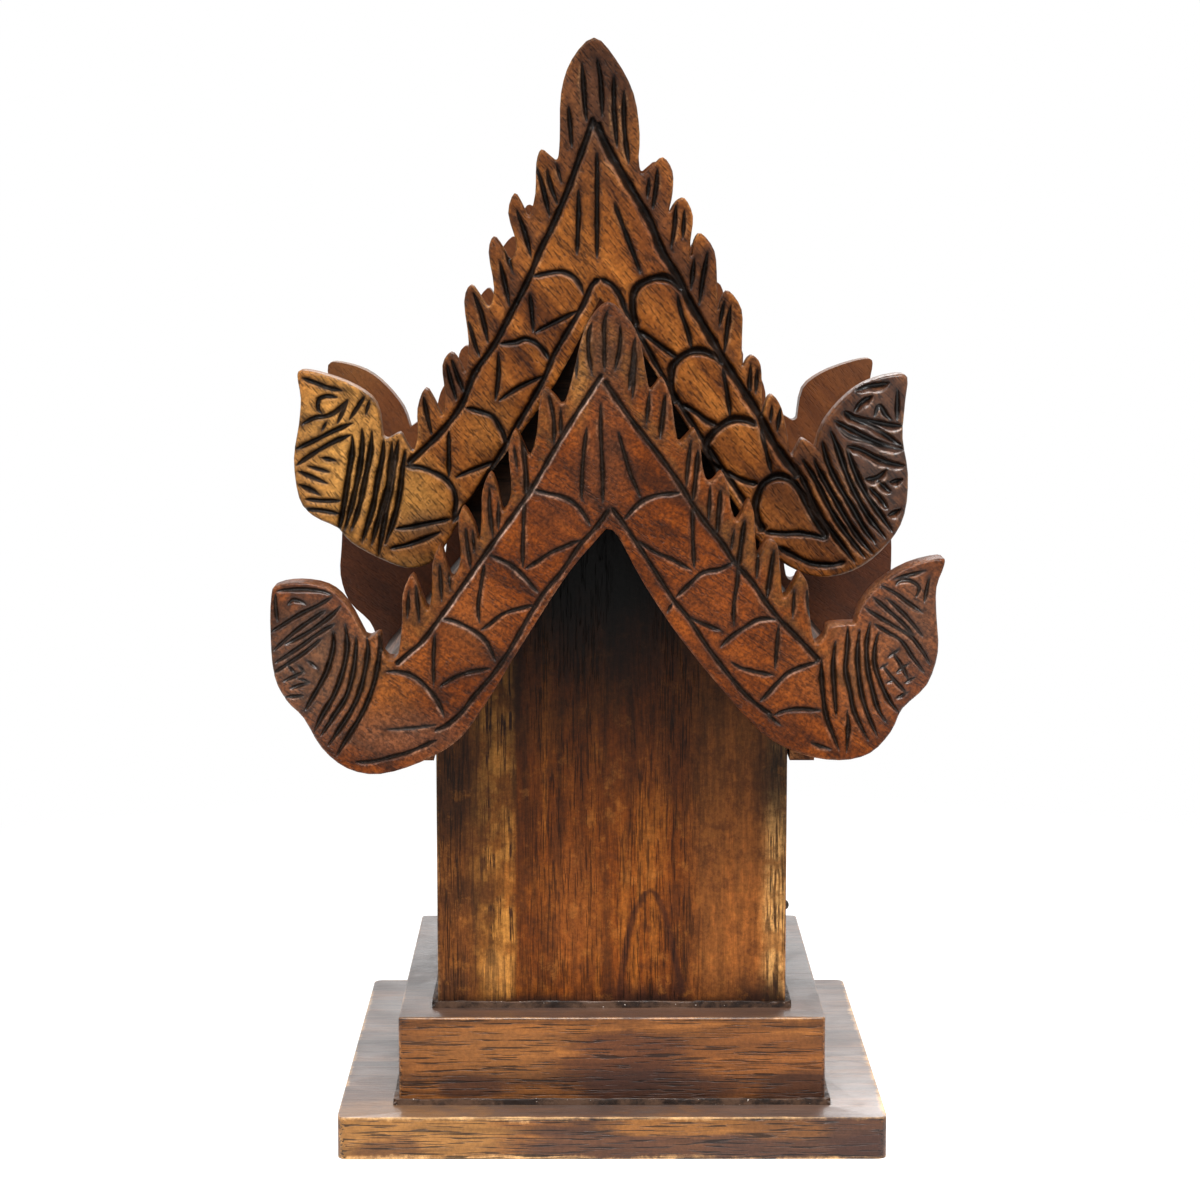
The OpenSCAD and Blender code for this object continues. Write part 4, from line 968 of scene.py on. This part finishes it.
upper_cuts = (
    (BORDER, [(-5, 11), (-6, 9.5), (-9.5, 0), (-13, -9.5), (-17.5, -20), (-21.5, -28),
      (-25, -36.5), (-30, -46), (-35, -55.5), (-41, -64), (-45, -73.5), (-50.5, -81), (-56.5, -87),
      (-61.5, -91.5)]),
    (WIDE, [(-4.5, 10), (-1, 2.5), (3, -4.5), (7.5, -12), (11.5, -19), (15, -27.5), (19.5, -35),
      (23.5, -43), (27, -49), (31, -55.5), (34.5, -61.5), (39.5, -69), (44, -76), (48.5, -84.5),
      (53.5, -91.5), (56.5, -95.5)]),
    (EDGE, [(-3.5, -36), (-6, -38), (-9, -44.5), (-13.5, -52), (-17.5, -59), (-20, -65),
      (-23.5, -71.5), (-28, -79), (-32, -86), (-37, -94), (-42, -102), (-48, -109)],
     [(-3.5, -36), (0, -38), (2.5, -41.5), (4.5, -46.5), (8.5, -53), (14, -63), (22, -76),
      (30, -88), (38, -100), (46, -112)]),
    (KNIFE, [(-4.5, 1), (-4.5, -9.5), (-4.5, -20), (-4.5, -30)],
     [(-10, -9.5), (-10, -18), (-10.5, -29)],
     [(0.5, -13.5), (3, -20), (5.5, -26.5), (8.5, -34.5)]),
    # fan scales down the left side
    (SCALE, [(-24, -35.5), (-19.5, -34.5), (-15, -34), (-11.5, -35.5), (-9.5, -38), (-8.5, -41)],
     [(-34, -55.5), (-29, -55), (-26, -54), (-23, -55), (-20, -58), (-18.5, -61)],
     [(-44, -74.5), (-40, -75.5), (-36, -77), (-33.5, -80.5), (-32, -84.5), (-32.5, -88)],
     [(-62.5, -92), (-57.5, -92.5), (-53.5, -94), (-50, -96), (-47.5, -99.5), (-47, -103.5),
      (-48, -108.5)]),
    (KNIFE, [(-24.5, -40.5), (-24, -46), (-23.5, -52)], [(-23, -52), (-17, -49), (-10, -45.5)],
     [(-34, -58), (-34, -65), (-35, -72.5)], [(-34, -72.5), (-28, -68.5), (-20.5, -65)],
     [(-49, -81.5), (-49, -88), (-49, -95.5)], [(-47, -95.5), (-42.5, -93.5), (-34.5, -90.5)],
     [(-65.5, -111), (-61, -110.5), (-56, -109.5), (-48.5, -108)],
     [(-67, -117), (-62, -116), (-57.5, -114.5), (-51.5, -112)]),
    # left tail
    (KNIFE, [(-93, -65.5), (-89, -67), (-85, -68.5), (-80.5, -69.5)],
     [(-86.5, -76.5), (-88, -75), (-88, -72.5), (-87, -71.5), (-85, -71), (-82, -71.5)],
     [(-93, -79.5), (-89, -77.5), (-85.5, -77), (-82.5, -75.5), (-79, -72)],
     [(-85.5, -78.5), (-87, -81.5)], [(-79, -72), (-82.5, -79.5)],
     [(-74, -71), (-77, -75.5), (-79, -78.5)], [(-72.5, -72), (-74, -77)],
     [(-95, -87), (-89.5, -84.5), (-83.5, -81.5), (-77.5, -79)],
     [(-95, -92), (-90, -88.5), (-84, -85), (-78, -82.5)],
     [(-91.5, -92), (-88, -93), (-84.5, -94)],
     [(-94.5, -93.5), (-91, -95), (-87.5, -96.5), (-85, -97.5)],
     [(-94.5, -97.5), (-91, -99), (-87.5, -101)],
     [(-92.5, -102), (-87.5, -102.5), (-81.5, -102.5)],
     [(-93, -105), (-87, -105.5), (-82, -106.5)], [(-87.5, -89.5), (-82.5, -90.5)]),
    (GROOVE, [(-78, -82.5), (-78, -87.5), (-79.5, -96.5), (-81, -105.5), (-82.5, -112.5)],
     [(-75, -80.5), (-75, -86), (-76, -93.5), (-78, -102.5), (-80.5, -111.5)],
     [(-72, -81), (-72.5, -87.5), (-74, -95), (-76, -104), (-78.5, -111.5)],
     [(-68.5, -83.5), (-69, -89.5), (-70.5, -96.5), (-72, -104.5), (-75.5, -115.5)],
     [(-66, -84.5), (-66.5, -91.5), (-67.5, -98.5), (-70, -107), (-72.5, -116)],
     [(-64, -84), (-65, -89), (-66.5, -98.5), (-68, -105.5), (-70.5, -119.5)],
     [(-62, -87), (-63, -93.5), (-64, -101), (-65.5, -107.5), (-68.5, -116)]),
    # rounded scales down the right side
    (DEEP, [(7.5, -50.5), (6.5, -46), (6.5, -41.5), (8, -38.5), (11.5, -36.5), (15, -36),
      (18, -37), (21, -40)],
     [(20, -73.5), (18, -69), (18, -64.5), (18.5, -62), (21, -59.5), (24, -58), (27.5, -58),
      (31.5, -60), (33, -62)],
     [(33, -93.5), (30, -91), (28.5, -86), (30, -83), (32.5, -80.5), (36, -78.5), (40, -78.5),
      (43.5, -80)],
     [(46, -112), (43.5, -106), (44.5, -100), (46.5, -97), (50, -95.5), (53.5, -96.5),
      (55.5, -98.5), (57.5, -101.5), (60.5, -107.5), (65, -114)]),
    (KNIFE, [(19.5, -41), (20.5, -46), (22.5, -51.5), (24, -57.5)],
     [(33, -62.5), (34, -67.5), (35, -73.5), (35.5, -78)],
     [(44.5, -80.5), (46, -86.5), (48, -94.5)]),
    (EDGE, [(7.5, -51.5), (11, -53.5), (15, -56.5), (20, -60)],
     [(20.5, -73.5), (24.5, -75.5), (28.5, -78.5), (32, -80)],
     [(34, -93.5), (37.5, -95.5), (41, -97), (44, -97.5)],
     [(46, -112), (51.5, -112.5), (57.5, -112.5), (65, -114)],
     [(50, -116.5), (54.5, -119), (60, -121.5), (66, -122), (70.5, -121)]),
    # right tail
    (FACET, [(73, -69.5), (76.5, -68), (80.5, -67.5), (83, -67)],
     [(72.5, -76), (74.5, -73), (78, -71)],
     [(69.5, -75.5), (73, -77.5), (78, -78.5), (83, -79.5), (87.5, -80)],
     [(69.5, -76.5), (74.5, -78.5), (79, -80.5), (83.5, -83.5), (87, -86)],
     [(67, -78.5), (72, -81), (77, -83.5), (82, -85.5), (87.5, -87)],
     [(70.5, -86), (74.5, -87), (79.5, -89.5), (83.5, -91), (88, -92)],
     [(76, -96), (79.5, -95.5), (82.5, -93)], [(79.5, -96), (84, -100)],
     [(77.5, -98.5), (81, -102), (83, -105)], [(83.5, -97), (87.5, -96)],
     [(83, -107), (87, -105)]),
    (KNIFE, [(85.5, -69), (85.5, -74.5), (85.5, -78.5)],
     [(78.5, -77.5), (80, -74), (82, -76.5), (84, -78.5)],
     [(67.5, -80), (71, -83), (76, -84.5), (82.5, -86.5)]),
    (GROOVE, [(55, -91.5), (58.5, -98.5), (62, -106), (65.5, -111), (70, -117), (73.5, -121.5)],
     [(57, -90), (61, -96), (64.5, -103), (68, -109), (72.5, -115), (76.5, -120)],
     [(60.5, -90), (63, -95), (67, -102), (70.5, -108), (74.5, -114), (79, -119)],
     [(63, -84.5), (65, -91.5), (68.5, -98.5), (72.5, -105), (76, -111), (79.5, -115.5)],
     [(65.5, -81.5), (68, -87.5), (70.5, -94.5), (73.5, -101), (77, -107), (82.5, -114)],
     [(70.5, -86.5), (72.5, -92.5), (75.5, -99), (79.5, -105), (84.5, -112)]),
    # finial
    (TOOTH, [(-13, 15), (-12.5, 9.5), (-12, 2.5)], [(-9, 27.5), (-8.5, 21), (-8, 14), (-7.5, 10)],
     [(-4.5, 28.5), (-3.5, 23), (-3, 15), (-3, 11.5)],
     [(0.5, 23.5), (0.5, 15), (1, 8), (1.5, 2.5)], [(3.5, 19.5), (3.5, 11), (4, 4.5), (5, -2.5)]),
    # flame teeth, left then right
    (TOOTH, [(-19.5, -3.5), (-18, -9.5), (-16, -14.5)], [(-22.5, -3), (-20.5, -9.5), (-18.5, -18)],
     [(-16.5, -2.5), (-15, -8)], [(-28.5, -15.5), (-26, -22.5), (-24, -30)],
     [(-33.5, -30.5), (-32, -37.5), (-30.5, -44.5)], [(-32, -27), (-29.5, -34.5)],
     [(-41.5, -40), (-39, -46.5), (-37, -55.5)], [(-43, -48.5), (-41, -55.5), (-39.5, -59.5)],
     [(-48, -60), (-46, -66), (-44, -70.5)], [(-49.5, -61.5), (-48, -67.5), (-46.5, -72.5)],
     [(-56.5, -71), (-55.5, -76.5), (-54, -83)], [(13.5, -3.5), (13, -9.5), (12, -15.5)],
     [(11, -6), (10.5, -12.5)], [(19, -14), (18.5, -21), (17.5, -27)],
     [(21.5, -15.5), (21, -24.5)], [(28.5, -28), (27, -36.5), (26, -44)],
     [(24.5, -30), (23.5, -39.5)], [(33.5, -42.5), (32, -50.5)],
     [(35.5, -43.5), (34.5, -50.5), (33.5, -58.5)], [(41.5, -61), (41, -71.5)],
     [(43.5, -62.5), (43, -70.5)], [(48, -73.5), (47.5, -79)], [(50.5, -74.5), (49.5, -82)]),
)

wood = begin_wood("upper board teak", (136, 82, 37), (114, 65, 28), (84, 47, 23),
                  (0.4, 0.1, 0.8), turn=(0, -50, 0), coarse=0.9, rings=0.1, pores=0.6,
                  stretch=0.12, speckle=0.28, streaks=0.2, hairs=(2100, 0.14), even=0.12)
stain_patches(wood, -60, 20, (
    (-80, 212, 20, 32, (186, 134, 70), 0.8), (-94, 212, 7, 22, (120, 84, 48), 0.5),
    (-37, 220, 9, 10, (150, 94, 44), 0.6), (-60, 198, 13, 12, (160, 112, 56), 0.65),
    (-57, 190, 8, 5, (72, 54, 42), 0.7), (-62, 178, 20, 6, (100, 74, 42), 0.6),
    (82, 214, 20, 42, (56, 40, 33), 0.9), (-4, 318, 15, 30, (58, 39, 29), 0.95),
    (-14, 275, 12, 16, (138, 84, 37), 0.4), (14, 280, 9, 22, (98, 54, 30), 0.5),
    (50, 190, 18, 14, (116, 70, 38), 0.4)), 0.9)
stain_patches(wood, 60, 20, (
    (-84, 236, 16, 14, (152, 106, 54), 0.8), (84, 236, 16, 14, (108, 76, 52), 0.6)), 0.9)
wax_cuts(wood, (190, 142, 90), (84, 52, 36), (74, 47, 32), (16, 12, 9), (100, 62, 34))
polish = patch(wood, (82, -60, 214), (22, 20, 42), 0.6)
wood.wax = fade(times(polish, wood.blotch), 0.1, 0.5, 0, 0.5)
upper_ridge = 300.135
board_pair("upper", wood, upper_cuts, upper_ridge, 1.05, -3, 2)


# Table and light: a white sweep under soft white lamps, one broad lamp above
# and in front, a weaker one at each side and one behind.

def seen(tree):
    """1 where a thing is seen, itself or in a gloss, and 0 where it only gives light."""
    path = put("LightPath", {}, tree).outputs
    return sums("MAXIMUM", path["Is Camera Ray"], sums(
        "MAXIMUM", path["Is Glossy Ray"], path["Is Transmission Ray"]))


white = (1, 1, 1, 1)
bpy.ops.mesh.primitive_plane_add(size=6, location=(0, 0, 0))
table_top = bpy.context.object
table_top.name = "table_top"
table_white, shader, at = begin_finish("white table")
tree = shader.id_data
for name, value in (("Base Color", (0.8, 0.8, 0.8, 1)), ("Roughness", 0.9),
                    ("Specular IOR Level", 0.0), ("Emission Color", white)):
    shader.inputs[name].default_value = value
to_eye = seen(tree)
x, y, _ = split(at)
reach = sums("SQRT", sums("ADD", sums("POWER", x, 2.0), sums("POWER", y, 2.0)))
glow = put("Emission", {"Color": white, "Strength": 1.0}, tree).outputs[0]
bare = times(to_eye, fade(reach, 0.16, 0.5))
joined = put("MixShader", {0: bare, 1: shader.outputs[0], 2: glow}).outputs[0]
tree.links.new(joined, tree.nodes["Material Output"].inputs["Surface"])
tree.links.new(times(to_eye, 0.38), shader.inputs["Emission Strength"])
table_top.data.materials.append(table_white)

world = bpy.data.worlds.new("white room")
bpy.context.scene.world = world
world.use_nodes = True
background = world.node_tree.nodes["Background"]
background.inputs["Color"].default_value = white
world.node_tree.links.new(fade(seen(world.node_tree), 0, 1, 0.16, 1.0),
                          background.inputs["Strength"])

aim = (0, 0, 0.15)
for name, place, wide, power in (
        ("top_lamp", (0.05, -1.1, 1.75), 1.0, 60), ("left_lamp", (-1.6, -0.9, 1.3), 0.8, 12),
        ("right_lamp", (1.6, -0.8, 1.3), 0.8, 10), ("rear_lamp", (0.2, 1.5, 1.5), 1.2, 26)):
    lamp = bpy.data.lights.new(name, "AREA")
    lamp.size, lamp.energy = wide, power
    holder = bpy.data.objects.new(name, lamp)
    link(holder)
    holder.location = place
    x, y, z = (a - p for a, p in zip(aim, place))
    holder.rotation_euler = (math.atan2(math.hypot(x, y), -z), 0, math.atan2(-x, y))

bpy.context.scene.view_settings.view_transform = "Standard"

eye = bpy.data.cameras.new("eye")
eye.lens, eye.sensor_width = 90.09, 36
viewer = bpy.data.objects.new("eye", eye)
link(viewer)
viewer.location = (-0.0066, -0.95915, 0.28495)
viewer.rotation_euler = (math.radians(90 - 7.437), 0, math.radians(-0.19))
bpy.context.scene.camera = viewer
